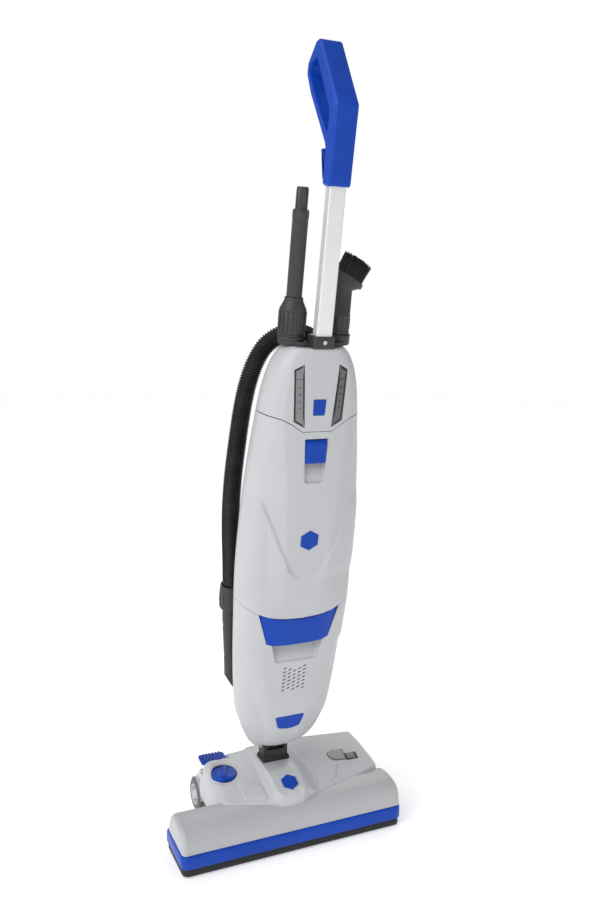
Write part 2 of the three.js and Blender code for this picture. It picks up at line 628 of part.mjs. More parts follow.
function makeBag() {
  const rings = [[350, 40, 12, 18], [372, 70, 22, 32], [430, 84, 30, 38], [510, 84, 30, 38], [555, 74, 24, 34], [585, 42, 12, 20]];
  return loft(rings.map(([u, half, front, rear]) => {
    const points = [];
    for (let k = 0; k < 20; k += 1) {
      const angle = 2 * Math.PI * k / 20;
      const v = (Math.sin(angle) > 0 ? front : rear) * Math.sin(angle);
      points.push([half * Math.cos(angle), v, u]);
    }
    return points;
  }));
}

addPart(body, "suction_motor", join(motorCan, motorSpindle), LOOK.alloy);
addPart(body, "suction_fan", makeFan(), LOOK.black);
addPart(body, "exhaust_filter", block([-36, 36], [-22, -8], [176, 232]), LOOK.paper);
addPart(body, "battery_pack", block([-52, 52], [2, 42], [176, 300]), LOOK.black);
addPart(body, "dust_bag", makeBag(), LOOK.paper);
addPart(body, "control_board", block([-34, 34], [-6, -4], [700, 756]), LOOK.board);

// ---- hose, duct and inlet -----------------------------------------------------------------------
function bodyPoint([x, v, u]) {
  return new THREE.Vector3(x, -v, u);
}

function tubeAlong(points, radius, sides, steps) {
  const circle = new THREE.Shape();
  for (let k = 0; k < sides; k += 1) {
    const angle = 2 * Math.PI * k / sides;
    const [x, y] = [radius * Math.cos(angle), radius * Math.sin(angle)];
    if (k) circle.lineTo(x, y);
    else circle.moveTo(x, y);
  }
  const path = new THREE.CatmullRomCurve3(points.map(bodyPoint), false, "centripetal");
  return toSolid(new THREE.ExtrudeGeometry(circle, { steps, extrudePath: path, bevelEnabled: false }));
}

function makeDuct() {
  const route = [[-76, 118], [-81, 190], [-86.5, 250], [-90.5, 292], [-90.5, 305.4]];
  const wall = tubeAlong(route.map(([x, u]) => [x, DUCT.v, u]), DUCT.r, 16, 6);
  const slant = block([-60, 60], [-60, 60], [-60, 0]).rotate([0, 58, 0]).translate([-80, 60, 146]);
  return cut(wall, slant);
}

function makeCuff() {
  const sleeve = rod(20, 46, 24);
  const mouth = rod(17.2, 3, 24).translate([0, 0, 44]);
  return cut(sleeve, mouth).translate([-90.5, -DUCT.v, 306]);
}

const elbow = join(
  rod(19, 26, 24).translate([47, 65, 706]),
  block([31, 63], [46, 65], [704, 728]),
);
addPart(body, "hose_duct", makeDuct(), LOOK.dark);
addPart(body, "hose_cuff", makeCuff(), LOOK.dark);
addPart(body, "suction_hose", tubeAlong(HOSE_ROUTE, HOSE_R, 10, 36), LOOK.black);
addPart(body, "hose_elbow", cut(elbow, bodyForm(-GAP)), LOOK.dark);

// ---- handle and tools ---------------------------------------------------------------------------
function makeHandleTube() {
  return block([-TUBE.half, TUBE.half], [-TUBE.front, -TUBE.back], [TUBE.low, TUBE.high]);
}

function makeGrip() {
  const loopOuter = [
    [41, 1040], [42, 1100], [43.5, 1155], [-32, 1244], [-44, 1245], [-70, 1215], [-72, 1197],
    [-52, 1168], [-14, 1128], [14, 1098], [17, 1090], [17.5, 1040],
  ];
  const loopInner = [[-41, 1221], [-62, 1211], [-64.5, 1199], [-45, 1174], [-6, 1135], [16, 1113], [20, 1122], [21, 1144]];
  const side = (points) => outline(points.map(([v, u]) => [-v, u]));
  const grip = cut(prismX(side(loopOuter), [-19, 19]), prismX(side(loopInner), [-30, 30]));
  const hookPoints = [[18, 1040], [10, 1042], [3, 1052], [-9, 1092], [-4, 1093], [8, 1055], [18, 1051]];
  const hook = prismX(side(hookPoints), [-13, 13]);
  const room = block(
    [-TUBE.half - GAP, TUBE.half + GAP], [-TUBE.front - GAP, -TUBE.back + GAP], [1030, TUBE.high + GAP],
  );
  return cut(join(grip, hook), room);
}

function makeHolder() {
  const cup = (place, radius, low, high) => rod(radius, high - low, 24).translate([place.x, -place.v, low]);
  const plate = block([WAND.x, DUSTER.x], [-12, 24], [797.5, 806]);
  const yoke = block([-18, 18], [-42, -10], [797.5, 817]);
  const solid = join(cup(WAND, 22, 797.5, 811), cup(DUSTER, 20.5, 797.5, 815), plate, yoke);
  const socket = block([-TUBE.half - GAP, TUBE.half + GAP], [-TUBE.front - GAP, -TUBE.back + GAP], [780, 830]);
  return cut(solid, cup(WAND, 18, 800, 830), cup(DUSTER, 16.2, 800, 830), socket);
}

function makeWandSleeve() {
  const profile = [[0, 801], [17.5, 801], [17.5, 811.4], [22, 811.4], [22, 853], [14, 868], [12.9, 868], [12.9, 850], [0, 850]];
  const ribs = [];
  for (let k = 0; k < 8; k += 1) {
    ribs.push(block([20.5, 22.8], [-1.6, 1.6], [815, 850]).rotate([0, 0, 45 * k]));
  }
  return join(turned(profile), ...ribs).translate([WAND.x, -WAND.v, 0]);
}

const wandTube = cut(rod(12.5, 1003 - 850.4, 24), rod(10, 200, 20).translate([0, 0, 2]))
  .translate([WAND.x, -WAND.v, 850.4]);
const wandTip = turned([[0, 860], [9.6, 860], [9.6, 1003], [8.6, 1036], [6.6, 1036], [7.6, 866], [0, 866]])
  .translate([WAND.x, -WAND.v, 0]);

const DUSTER_TILT = 28;   // the brush head leans outward
const DUSTER_HEAD = 898;

function makeDusterBody() {
  const neck = rod(15.8, 15, 24).translate([0, 0, 801]);
  const stem = turned([[0, 815.4], [18, 815.4], [16.5, 894], [0, 894]]);
  const head = rod(1, 9, 28).scale([29, 17, 1]).rotate([0, DUSTER_TILT, 0]).translate([6, 0, DUSTER_HEAD]);
  const bridge = loft([[16.4, 16.4, 0, 890, 0], [20, 16, 4, 900, DUSTER_TILT]].map(([rx, ry, dx, u, tilt]) => {
    const ringPoints = [];
    const slope = Math.tan(tilt * Math.PI / 180);
    for (let k = 0; k < 24; k += 1) {
      const angle = 2 * Math.PI * k / 24;
      const x = rx * Math.cos(angle);
      ringPoints.push([x + dx, ry * Math.sin(angle), u - x * slope]);
    }
    return ringPoints;
  }));
  return join(neck, stem, bridge, head).translate([DUSTER.x, -DUSTER.v, 0]);
}

function makeDusterBristles() {
  const tuft = rod(1, 34, 28).scale([27.5, 15, 1]).translate([0, 0, 9.4]);
  return tuft.rotate([0, DUSTER_TILT, 0]).translate([DUSTER.x + 6, -DUSTER.v, DUSTER_HEAD]);
}

addPart(body, "tool_holder", makeHolder(), LOOK.dark);
addPart(body, "wand_sleeve", makeWandSleeve(), LOOK.dark);
addPart(body, "wand_tube", wandTube, LOOK.dark);
addPart(body, "wand_tip", wandTip, LOOK.dark);
addPart(body, "duster_body", makeDusterBody(), LOOK.dark);
addPart(body, "duster_bristles", makeDusterBristles(), LOOK.bristle);
addPart(body, "handle_tube", makeHandleTube(), LOOK.tube);
addPart(body, "handle_grip", makeGrip(), LOOK.blue);

export default machine;
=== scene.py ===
import bisect
import math
import random

import bmesh
import bpy
from mathutils import Matrix, Vector


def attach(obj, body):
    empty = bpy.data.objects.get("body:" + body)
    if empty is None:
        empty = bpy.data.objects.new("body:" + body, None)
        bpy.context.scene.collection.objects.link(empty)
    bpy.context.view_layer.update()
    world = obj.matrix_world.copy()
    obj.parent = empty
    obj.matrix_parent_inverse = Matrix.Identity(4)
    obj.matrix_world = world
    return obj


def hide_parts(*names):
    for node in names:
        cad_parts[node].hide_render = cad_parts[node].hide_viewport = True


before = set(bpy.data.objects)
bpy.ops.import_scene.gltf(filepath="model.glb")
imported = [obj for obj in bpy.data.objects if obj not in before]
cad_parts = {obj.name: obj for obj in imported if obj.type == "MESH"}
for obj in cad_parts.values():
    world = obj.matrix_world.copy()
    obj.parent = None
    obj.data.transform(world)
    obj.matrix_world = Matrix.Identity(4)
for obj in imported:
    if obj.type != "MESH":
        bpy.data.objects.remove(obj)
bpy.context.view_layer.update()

# ---- driving dimensions, in millimetres, as in the CAD model ------------------------------------
MM = 0.001
BASE_HALF = 215.0
NOSE_Y = -46.0
NOZZLE_REAR_Y = 54.0
BUMPER_Z = (17.0, 41.5)
SKIRT_Z = 3.0
WHEEL = {"y": 166.0, "r": 30.0, "width": 18.0, "left": -121.0, "right": 168.0}
ROLLER = {"y": -28.0, "r": 8.0, "x": 200.0, "width": 9.0}
BRUSH = {"y": -4.0, "z": 30.0, "core": 17.0, "tip": 27.5, "half": 184.0, "pulley_x": 168.0}
LEAN = math.radians(10.84)
BODY_Y = 60.3
BODY_Z = 125.1
PIVOT = {"v": -20.0, "u": 24.0}
PIVOT_Y = BODY_Y - PIVOT["u"] * math.sin(LEAN) - PIVOT["v"] * math.cos(LEAN)
PIVOT_Z = BODY_Z + PIVOT["u"] * math.cos(LEAN) - PIVOT["v"] * math.sin(LEAN)
FRONT_POWER = 3.0
REAR_POWER = 2.3
SPLIT_V = -8.0
SEAM_GAP = 0.4
SKIN = 2.6
TUBE = {"half": 13.6, "front": 38.0, "back": 20.7, "low": 764.0, "high": 1120.0}
WAND = {"x": -39.0, "v": -4.0}
DUSTER = {"x": 43.0, "v": -4.0, "tilt": math.radians(28), "head": 898.0}
KNOB = {"x": -97.0, "y": 80.0, "r": 23.0, "base": 102.7}
PEDAL = {"x": (-127.0, -75.0), "y": (118.0, 156.0), "z": 116.0}
HOSE_R = 16.0
DUCT = {"v": -60.0, "r": 13.0}

# Stations of the body: height u, half width, front depth, rear depth.
STATIONS = [
    (45, 42, 14, 38), (56, 57, 24, 48), (75, 68, 34, 54), (98, 78, 39, 57), (130, 88, 42, 59),
    (200, 96, 43, 60), (300, 102, 46.5, 60), (417, 106, 51, 60), (500, 104, 53, 60), (590, 98, 49, 59),
    (660, 91, 45, 56), (720, 83, 43, 52), (762, 72, 41.5, 47), (786, 59, 40, 41), (797, 48, 39.5, 34),
]

# The free hose's centre line in the body's frame: x, v, u.
HOSE_ROUTE = [
    (-90.5, -60, 352.4), (-92, -60, 372), (-94, -60, 400), (-98, -59.5, 445), (-101, -59, 500),
    (-101, -58.5, 550), (-99, -58, 595), (-96, -57.5, 640), (-92, -57, 684), (-86, -56, 722),
    (-76, -55, 756), (-61, -54, 783), (-40, -53, 799), (-16, -53, 805), (8, -54, 802), (28, -57, 791),
    (41, -62, 774), (47, -65, 752), (47, -65, 732.4),
]
HOSE_LENGTH = 601.2

# Seams of the body seen from the front: x, u.
TOP_SEAM = [(0, 664), (26, 664), (44, 676), (60, 684), (150, 700)]
DOOR_SEAM = [(0, 328), (40, 331), (78, 342), (104, 356), (150, 384)]
LATCH_TOP = [(0, 327.2), (40, 330.2), (76.5, 341.4)]
LATCH_LOW = [(0, 277), (40, 279), (57.8, 283)]

BASE = Matrix.Scale(MM, 4)
BODY = BASE @ Matrix.Translation((0, BODY_Y, BODY_Z)) @ Matrix.Rotation(LEAN, 4, "X")
LEANING_BODIES = ("body", "door", "door_latch", "power_button", "filter_latch", "wand", "wand_tip", "duster")


# ---- small mathematics --------------------------------------------------------------------------
def clamp(value, low=0.0, high=1.0):
    return max(low, min(high, value))


def fade(value, low, high):
    """0 below low, 1 above high and smooth between; falls instead where high is the lower."""
    t = clamp((value - low) / (high - low))
    return t * t * (3 - 2 * t)


def along(table, x, column=1):
    """Straight lines through a table's rows."""
    if x <= table[0][0]:
        return table[0][column]
    for a, b in zip(table, table[1:]):
        if x <= b[0]:
            return a[column] + (b[column] - a[column]) * (x - a[0]) / (b[0] - a[0])
    return table[-1][column]


def flowing(table, x, column=1):
    """A smooth line through a table's rows that never overshoots them."""
    keys = [row[0] for row in table]
    x = clamp(x, keys[0], keys[-1])
    k = clamp(bisect.bisect_right(keys, x) - 1, 0, len(table) - 2)

    def secant(i):
        return (table[i + 1][column] - table[i][column]) / (keys[i + 1] - keys[i])

    def slope(i):
        if i == 0:
            return secant(0)
        if i == len(table) - 1:
            return secant(i - 1)
        before, after = secant(i - 1), secant(i)
        return 0.0 if before * after <= 0 else 2 * before * after / (before + after)

    h = keys[k + 1] - keys[k]
    t = (x - keys[k]) / h
    start, end = table[k][column], table[k + 1][column]
    return (
        start * (1 + 2 * t) * (1 - t) ** 2 + slope(k) * h * t * (1 - t) ** 2
        + end * t * t * (3 - 2 * t) + slope(k + 1) * h * t * t * (t - 1)
    )


def spline(points, count):
    """Centripetal Catmull-Rom curve through the points, as evenly spaced points."""
    points = [Vector(p) for p in points]
    ends = [points[0] * 2 - points[1], *points, points[-1] * 2 - points[-2]]
    fine = []
    for k in range(1, len(ends) - 2):
        a, b, c, d = ends[k - 1:k + 3]
        t = [0.0]
        for p, q in ((a, b), (b, c), (c, d)):
            t.append(t[-1] + (q - p).length ** 0.5)
        for step in range(24):
            at = t[1] + (t[2] - t[1]) * step / 24
            ab = a * ((t[1] - at) / t[1]) + b * (at / t[1])
            bc = b * ((t[2] - at) / (t[2] - t[1])) + c * ((at - t[1]) / (t[2] - t[1]))
            cd = c * ((t[3] - at) / (t[3] - t[2])) + d * ((at - t[2]) / (t[3] - t[2]))
            abc = ab * ((t[2] - at) / t[2]) + bc * (at / t[2])
            bcd = bc * ((t[3] - at) / (t[3] - t[1])) + cd * ((at - t[1]) / (t[3] - t[1]))
            fine.append(abc * ((t[2] - at) / (t[2] - t[1])) + bcd * ((at - t[1]) / (t[2] - t[1])))
    fine.append(points[-1])
    return resampled(fine, count)


def resampled(fine, count):
    reach = [0.0]
    for p, q in zip(fine, fine[1:]):
        reach.append(reach[-1] + (q - p).length)
    out = []
    for k in range(count):
        want = reach[-1] * k / (count - 1)
        i = min(bisect.bisect_left(reach, want), len(fine) - 1)
        if i == 0:
            out.append(fine[0].copy())
            continue
        share = (want - reach[i - 1]) / (reach[i] - reach[i - 1])
        out.append(fine[i - 1].lerp(fine[i], share))
    return out


# ---- outlines -----------------------------------------------------------------------------------
def vectors(points):
    return [Vector(p) for p in points]


def rounded(corners, radius, steps=6):
    """A closed outline with every corner rounded; radius is one number or one for each corner."""
    out = []
    count = len(corners)
    for k, corner in enumerate(corners):
        here = Vector(corner)
        back = Vector(corners[k - 1]) - here
        ahead = Vector(corners[(k + 1) % count]) - here
        want = radius[k] if isinstance(radius, (list, tuple)) else radius
        angle = back.angle(ahead)
        reach = min(want / math.tan(angle / 2), 0.48 * back.length, 0.48 * ahead.length)
        start = here + back.normalized() * reach
        end = here + ahead.normalized() * reach
        for step in range(steps + 1):
            t = step / steps
            out.append(start * (1 - t) ** 2 + here * 2 * t * (1 - t) + end * t * t)
    return out


def densified(outline, spacing):
    out = []
    for k, point in enumerate(outline):
        after = outline[(k + 1) % len(outline)]
        parts = max(1, round((after - point).length / spacing))
        out += [point.lerp(after, i / parts) for i in range(parts)]
    return out


def evened(corners, radius, spacing):
    """A rounded outline whose points are all about one spacing apart."""
    outline = rounded(corners, radius)
    loop = [Vector((*p, 0)) for p in outline + outline[:1]]
    length = sum((q - p).length for p, q in zip(loop, loop[1:]))
    return [p.xy for p in resampled(loop, round(length / spacing) + 1)[:-1]]


def inset(outline, distance):
    """The outline moved inwards along its corners' bisectors."""
    area = sum(p.x * q.y - q.x * p.y for p, q in zip(outline, outline[1:] + outline[:1]))
    turn = 1 if area > 0 else -1
    out = []
    for k, point in enumerate(outline):
        edge = outline[(k + 1) % len(outline)] - outline[k - 1]
        edge.normalize()
        out.append(point + Vector((-edge.y, edge.x)) * distance * turn)
    return out


def mirrored(half_table):
    """Left to right points of a table that is given for x from 0 outwards."""
    left = [(-x, u) for x, u in reversed(half_table) if x > 0]
    return left + list(half_table)


def circle(radius, sides, x=0.0, y=0.0):
    turns = [2 * math.pi * k / sides for k in range(sides)]
    return [Vector((x + radius * math.cos(a), y + radius * math.sin(a))) for a in turns]


def hexagon(radius):
    corners = [math.pi / 2 + k * math.pi / 3 for k in range(6)]
    return [(radius * math.cos(a), radius * math.sin(a)) for a in corners]


# ---- solids as (points, faces) ------------------------------------------------------------------
def joined(*parts):
    points, faces = [], []
    for some_points, some_faces in parts:
        start = len(points)
        points += list(some_points)
        faces += [tuple(i + start for i in face) for face in some_faces]
    return points, faces


def moved(part, matrix):
    return [matrix @ Vector(p) for p in part[0]], part[1]


def warped(part, change):
    return [change(Vector(p)) for p in part[0]], part[1]


def shift(x, y, z):
    return Matrix.Translation((x, y, z))


def turn(degrees, axis):
    return Matrix.Rotation(math.radians(degrees), 4, axis)


def rows_mesh(rows, closed=True, caps=True):
    """A skin over rows of equally many points; closed joins each row's ends."""
    count = len(rows[0])
    points = [Vector(p) for row in rows for p in row]
    faces = []
    for r in range(len(rows) - 1):
        for k in range(count if closed else count - 1):
            a, b = r * count + k, r * count + (k + 1) % count
            faces.append((a, b, b + count, a + count))
    if closed and caps:
        last = (len(rows) - 1) * count
        faces.append(tuple(reversed(range(count))))
        faces.append(tuple(range(last, last + count)))
    return points, faces


def lathe(profile, sides=48):
    """A closed profile of (radius, height) turned about Z; points on the axis close it."""
    rows = [[(r * c.x, r * c.y, z) for c in circle(1, sides)] for r, z in profile]
    open_ends = profile[0][0] < 1e-6 and profile[-1][0] < 1e-6
    if open_ends:
        rows = rows[1:-1]
        points, faces = rows_mesh(rows, True, False)
        for row, height, flip in ((0, profile[0][1], True), (len(rows) - 1, profile[-1][1], False)):
            middle = len(points)
            points.append(Vector((0, 0, height)))
            for k in range(sides):
                a, b = row * sides + k, row * sides + (k + 1) % sides
                faces.append((b, a, middle) if flip else (a, b, middle))
        return points, faces
    rows.append(rows[0])
    points, faces = rows_mesh(rows, True, False)
    first = (len(rows) - 1) * sides
    faces = [tuple(i - first if i >= first else i for i in face) for face in faces]
    return points[:first], faces


def pad(outline, low, high, edge=0.6, lower_edge=0.0, rings=4, steps=3, crown=0.0):
    """A plate with rounded upper edges and rings of points across its faces."""
    centre = sum(outline, Vector((0, 0))) / len(outline)

    def level(shape, z):
        return [(p.x, p.y, z) for p in shape]

    def across(shape, z, bulge):
        out = []
        for k in range(1, rings + 1):
            share = 1 - k / (rings + 1)
            lift = bulge * (1 - share * share)
            out.append(level([centre + (p - centre) * share for p in shape], z + lift))
        return out

    rows = [level(inset(outline, lower_edge), low)]
    rows = list(reversed(across(inset(outline, lower_edge), low, 0))) + rows
    if lower_edge:
        rows.append(level(outline, low + lower_edge))
    for k in range(steps + 1):
        angle = math.pi / 2 * k / steps
        shape = inset(outline, edge * (1 - math.cos(angle)))
        rows.append(level(shape, high - edge + edge * math.sin(angle)))
    rows += across(inset(outline, edge), high, crown)
    return rows_mesh(rows)


def basin(outline, lip, depth, wall=3.0, steps=5):
    """An open recess: a rolled lip at the outline, a wall and a floor; depth is a function of x, y."""
    rows = []
    rows.append([(p.x, p.y, lip) for p in inset(outline, -1.2)])
    rows.append([(p.x, p.y, lip) for p in inset(outline, -0.3)])
    for k in range(steps + 1):
        angle = math.pi / 2 * k / steps
        shape = inset(outline, wall * (1 - math.cos(angle)))
        rows.append([(p.x, p.y, lip - 0.8 - (depth(p.x, p.y) - 0.8) * math.sin(angle)) for p in shape])
    floor = inset(outline, wall)
    centre = sum(floor, Vector((0, 0))) / len(floor)
    for k in range(1, 9):
        share = 1 - k / 8.5
        shape = [centre + (p - centre) * share for p in floor]
        rows.append([(p.x, p.y, lip - depth(p.x, p.y)) for p in shape])
    points, faces = rows_mesh(rows, True, False)
    last = (len(rows) - 1) * len(outline)
    faces.append(tuple(range(last, last + len(outline))))
    return points, faces


def block(x, y, z, edge=0.8):
    outline = rounded([(x[0], y[0]), (x[1], y[0]), (x[1], y[1]), (x[0], y[1])], edge, 3)
    return pad(outline, z[0], z[1], edge, edge, rings=1, steps=3)


def sweep(path, section):
    """A closed section (across, up) carried along a path in the plane of X and Y."""
    rows = []
    for k, point in enumerate(path):
        before = path[max(k - 1, 0)]
        after = path[min(k + 1, len(path) - 1)]
        way = (after - before).normalized()
        side = Vector((way.y, -way.x))
        rows.append([(*(point + side * a), b) for a, b in section])
    return rows_mesh(rows)


def tube(path, radius, sides):
    """A round tube along points in space; radius is a number or a function of the point's index."""
    rows = []
    for k, point in enumerate(path):
        way = (path[min(k + 1, len(path) - 1)] - path[max(k - 1, 0)]).normalized()
        side = way.cross(Vector((0, 1, 0))).normalized()
        other = side.cross(way)
        r = radius(k) if callable(radius) else radius
        rows.append([point + side * p.x * r + other * p.y * r for p in circle(1, sides)])
    return rows_mesh(rows)


# ---- objects ------------------------------------------------------------------------------------
def new_object(name, part, material, at, sharp=38, closed=True):
    mesh = bpy.data.meshes.new(name)
    mesh.from_pydata([at @ Vector(p) for p in part[0]], [], part[1])
    obj = bpy.data.objects.new(name, mesh)
    bpy.context.collection.objects.link(obj)
    mesh.materials.append(material)
    tidy_mesh(mesh, sharp, closed)
    return obj


def tidy_mesh(mesh, sharp, closed=True):
    soup = bmesh.new()
    soup.from_mesh(mesh)
    bmesh.ops.remove_doubles(soup, verts=soup.verts, dist=1e-6)
    if closed:
        bmesh.ops.recalc_face_normals(soup, faces=soup.faces)
    soup.to_mesh(mesh)
    soup.free()
    mesh.shade_smooth()
    mesh.set_sharp_from_angle(angle=math.radians(sharp))


def make(name, part, look, body, nodes=(), sharp=38):
    """A piece of the machine that rides on a CAD body and stands for CAD nodes."""
    place = BODY if body in LEANING_BODIES else BASE
    return settle(new_object(name, part, LOOK[look], place, sharp), body, nodes)


def settle(obj, body, nodes=()):
    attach(obj, body)
    if nodes:
        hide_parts(*nodes)
    return obj


def baked(obj, sharp=38):
    """The object's modifiers become its mesh."""
    graph = bpy.context.evaluated_depsgraph_get()
    mesh = bpy.data.meshes.new_from_object(obj.evaluated_get(graph))
    obj.modifiers.clear()
    old = obj.data
    obj.data = mesh
    bpy.data.meshes.remove(old)
    tidy_mesh(mesh, sharp, False)
    return obj


def thickened(obj, thickness, edge=0.5):
    """An open skin becomes a moulded shell with rounded rims."""
    solid = obj.modifiers.new("shell", "SOLIDIFY")
    solid.thickness = thickness * MM
    solid.offset = -1
    rim = obj.modifiers.new("rim", "BEVEL")
    rim.width = edge * MM
    rim.segments = 2
    rim.limit_method = "ANGLE"
    rim.angle_limit = math.radians(60)
    return baked(obj)


def cut(obj, part, at, sharp=38):
    """Takes a closed solid away from the object's mesh."""
    tool = new_object("tool", part, obj.data.materials[0], at)
    change = obj.modifiers.new("cut", "BOOLEAN")
    change.operation = "DIFFERENCE"
    change.solver = "EXACT"
    change.object = tool
    baked(obj, sharp)
    bpy.data.objects.remove(tool, do_unlink=True)
    return obj


# ---- materials ----------------------------------------------------------------------------------
def node(tree, kind, inputs=(), **settings):
    made = tree.nodes.new(kind)
    for key, value in settings.items():
        setattr(made, key, value)
    for key, value in dict(inputs).items():
        if isinstance(value, bpy.types.NodeSocket):
            tree.links.new(value, made.inputs[key])
        else:
            made.inputs[key].default_value = value
    return made


def noise(tree, place, scale, detail=4.0, rough=0.55):
    inputs = {"Vector": place, "Scale": scale, "Detail": detail, "Roughness": rough}
    return node(tree, "ShaderNodeTexNoise", inputs).outputs["Fac"]


def ranged(tree, value, low, high, to_low=0.0, to_high=1.0):
    inputs = {"Value": value, "From Min": low, "From Max": high, "To Min": to_low, "To Max": to_high}
    return node(tree, "ShaderNodeMapRange", inputs).outputs["Result"]


def times(tree, a, b):
    inputs = {0: a, 1: b}
    return node(tree, "ShaderNodeMath", inputs, operation="MULTIPLY").outputs[0]


def plus(tree, a, b):
    return node(tree, "ShaderNodeMath", {0: a, 1: b}, operation="ADD").outputs[0]


def blended(tree, share, first, second):
    inputs = {"Fac": share, "Color1": first, "Color2": second}
    return node(tree, "ShaderNodeMixRGB", inputs).outputs["Color"]


def tint(colour, factor):
    return (*[clamp(c * factor) for c in colour], 1.0)


def finish(name, colour, rough, metal=0.0, mottle=0.03, patch=14.0, grain=900.0, depth=0.12,
           wear=0.25, wear_tint=1.25, dust=0.0, streak=None, flow=None, **sockets):
    """A moulded, rubber or metal surface: uneven colour, fine grain, worn edges and light scratches.

    grain is in ridges a metre and depth is the bump's strength. streak stretches the scratches
    along an axis; flow is a pair of a scale vector and a strength for brushed or ribbed detail."""
    made = bpy.data.materials.new(name)
    made.use_nodes = True
    tree = made.node_tree
    shader = tree.nodes["Principled BSDF"]
    place = node(tree, "ShaderNodeTexCoord").outputs["Object"]
    broad = ranged(tree, noise(tree, place, patch, 5.0), 0.32, 0.68)
    base = blended(tree, broad, tint(colour, 1 - mottle), tint(colour, 1 + mottle))
    speck = ranged(tree, noise(tree, place, 420.0, 3.0), 0.45, 0.75, 0.0, 0.35 * mottle * 4)
    base = blended(tree, speck, base, tint(colour, 0.8))
    edge = node(tree, "ShaderNodeNewGeometry").outputs["Pointiness"]
    rubbed = times(tree, ranged(tree, edge, 0.515, 0.6), ranged(tree, noise(tree, place, 55.0), 0.35, 0.65))
    rubbed = times(tree, rubbed, wear)
    base = blended(tree, rubbed, base, tint(colour, wear_tint))
    if dust:
        hollow = ranged(tree, edge, 0.49, 0.42)
        settled = times(tree, times(tree, hollow, ranged(tree, noise(tree, place, 40.0), 0.4, 0.7)), dust)
        base = blended(tree, settled, base, (0.36, 0.35, 0.33, 1))
    stretch = streak or (260.0, 260.0, 18.0)
    mapped = node(tree, "ShaderNodeMapping", {"Vector": place, "Scale": stretch}).outputs["Vector"]
    scratch = ranged(tree, noise(tree, mapped, 1.0, 6.0, 0.7), 0.6, 0.78)
    uneven = ranged(tree, noise(tree, place, 30.0, 5.0), 0.3, 0.7, rough * 0.9, rough * 1.12)
    shade = plus(tree, uneven, times(tree, scratch, 0.12))
    fine = noise(tree, place, grain, 3.0, 0.6)
    height = plus(tree, fine, times(tree, scratch, -0.4))
    if flow:
        drawn = node(tree, "ShaderNodeMapping", {"Vector": place, "Scale": flow[0]}).outputs["Vector"]
        lines = noise(tree, drawn, 1.0, 5.0, 0.65)
        height = plus(tree, height, times(tree, lines, flow[1]))
        shade = plus(tree, shade, ranged(tree, lines, 0.3, 0.7, -0.05, 0.06))
        base = blended(tree, ranged(tree, lines, 0.35, 0.7, 0, 0.35), base, tint(colour, 0.88))
    bump = node(tree, "ShaderNodeBump", {"Height": height, "Strength": depth, "Distance": 0.0006})
    tree.links.new(base, shader.inputs["Base Color"])
    tree.links.new(shade, shader.inputs["Roughness"])
    tree.links.new(bump.outputs["Normal"], shader.inputs["Normal"])
    shader.inputs["Metallic"].default_value = metal
    for key, value in sockets.items():
        shader.inputs[key.replace("_", " ")].default_value = value
    return made


def fabric_finish(name, colour):
    """Felted fleece: crossed fibres at two scales with a soft sheen."""
    made = finish(name, colour, 0.92, mottle=0.06, patch=40.0, grain=2600.0, depth=0.5, wear=0.05,
                  streak=(900.0, 120.0, 900.0), flow=((300.0, 1500.0, 300.0), 0.8))
    made.node_tree.nodes["Principled BSDF"].inputs["Sheen Weight"].default_value = 0.4
    return made


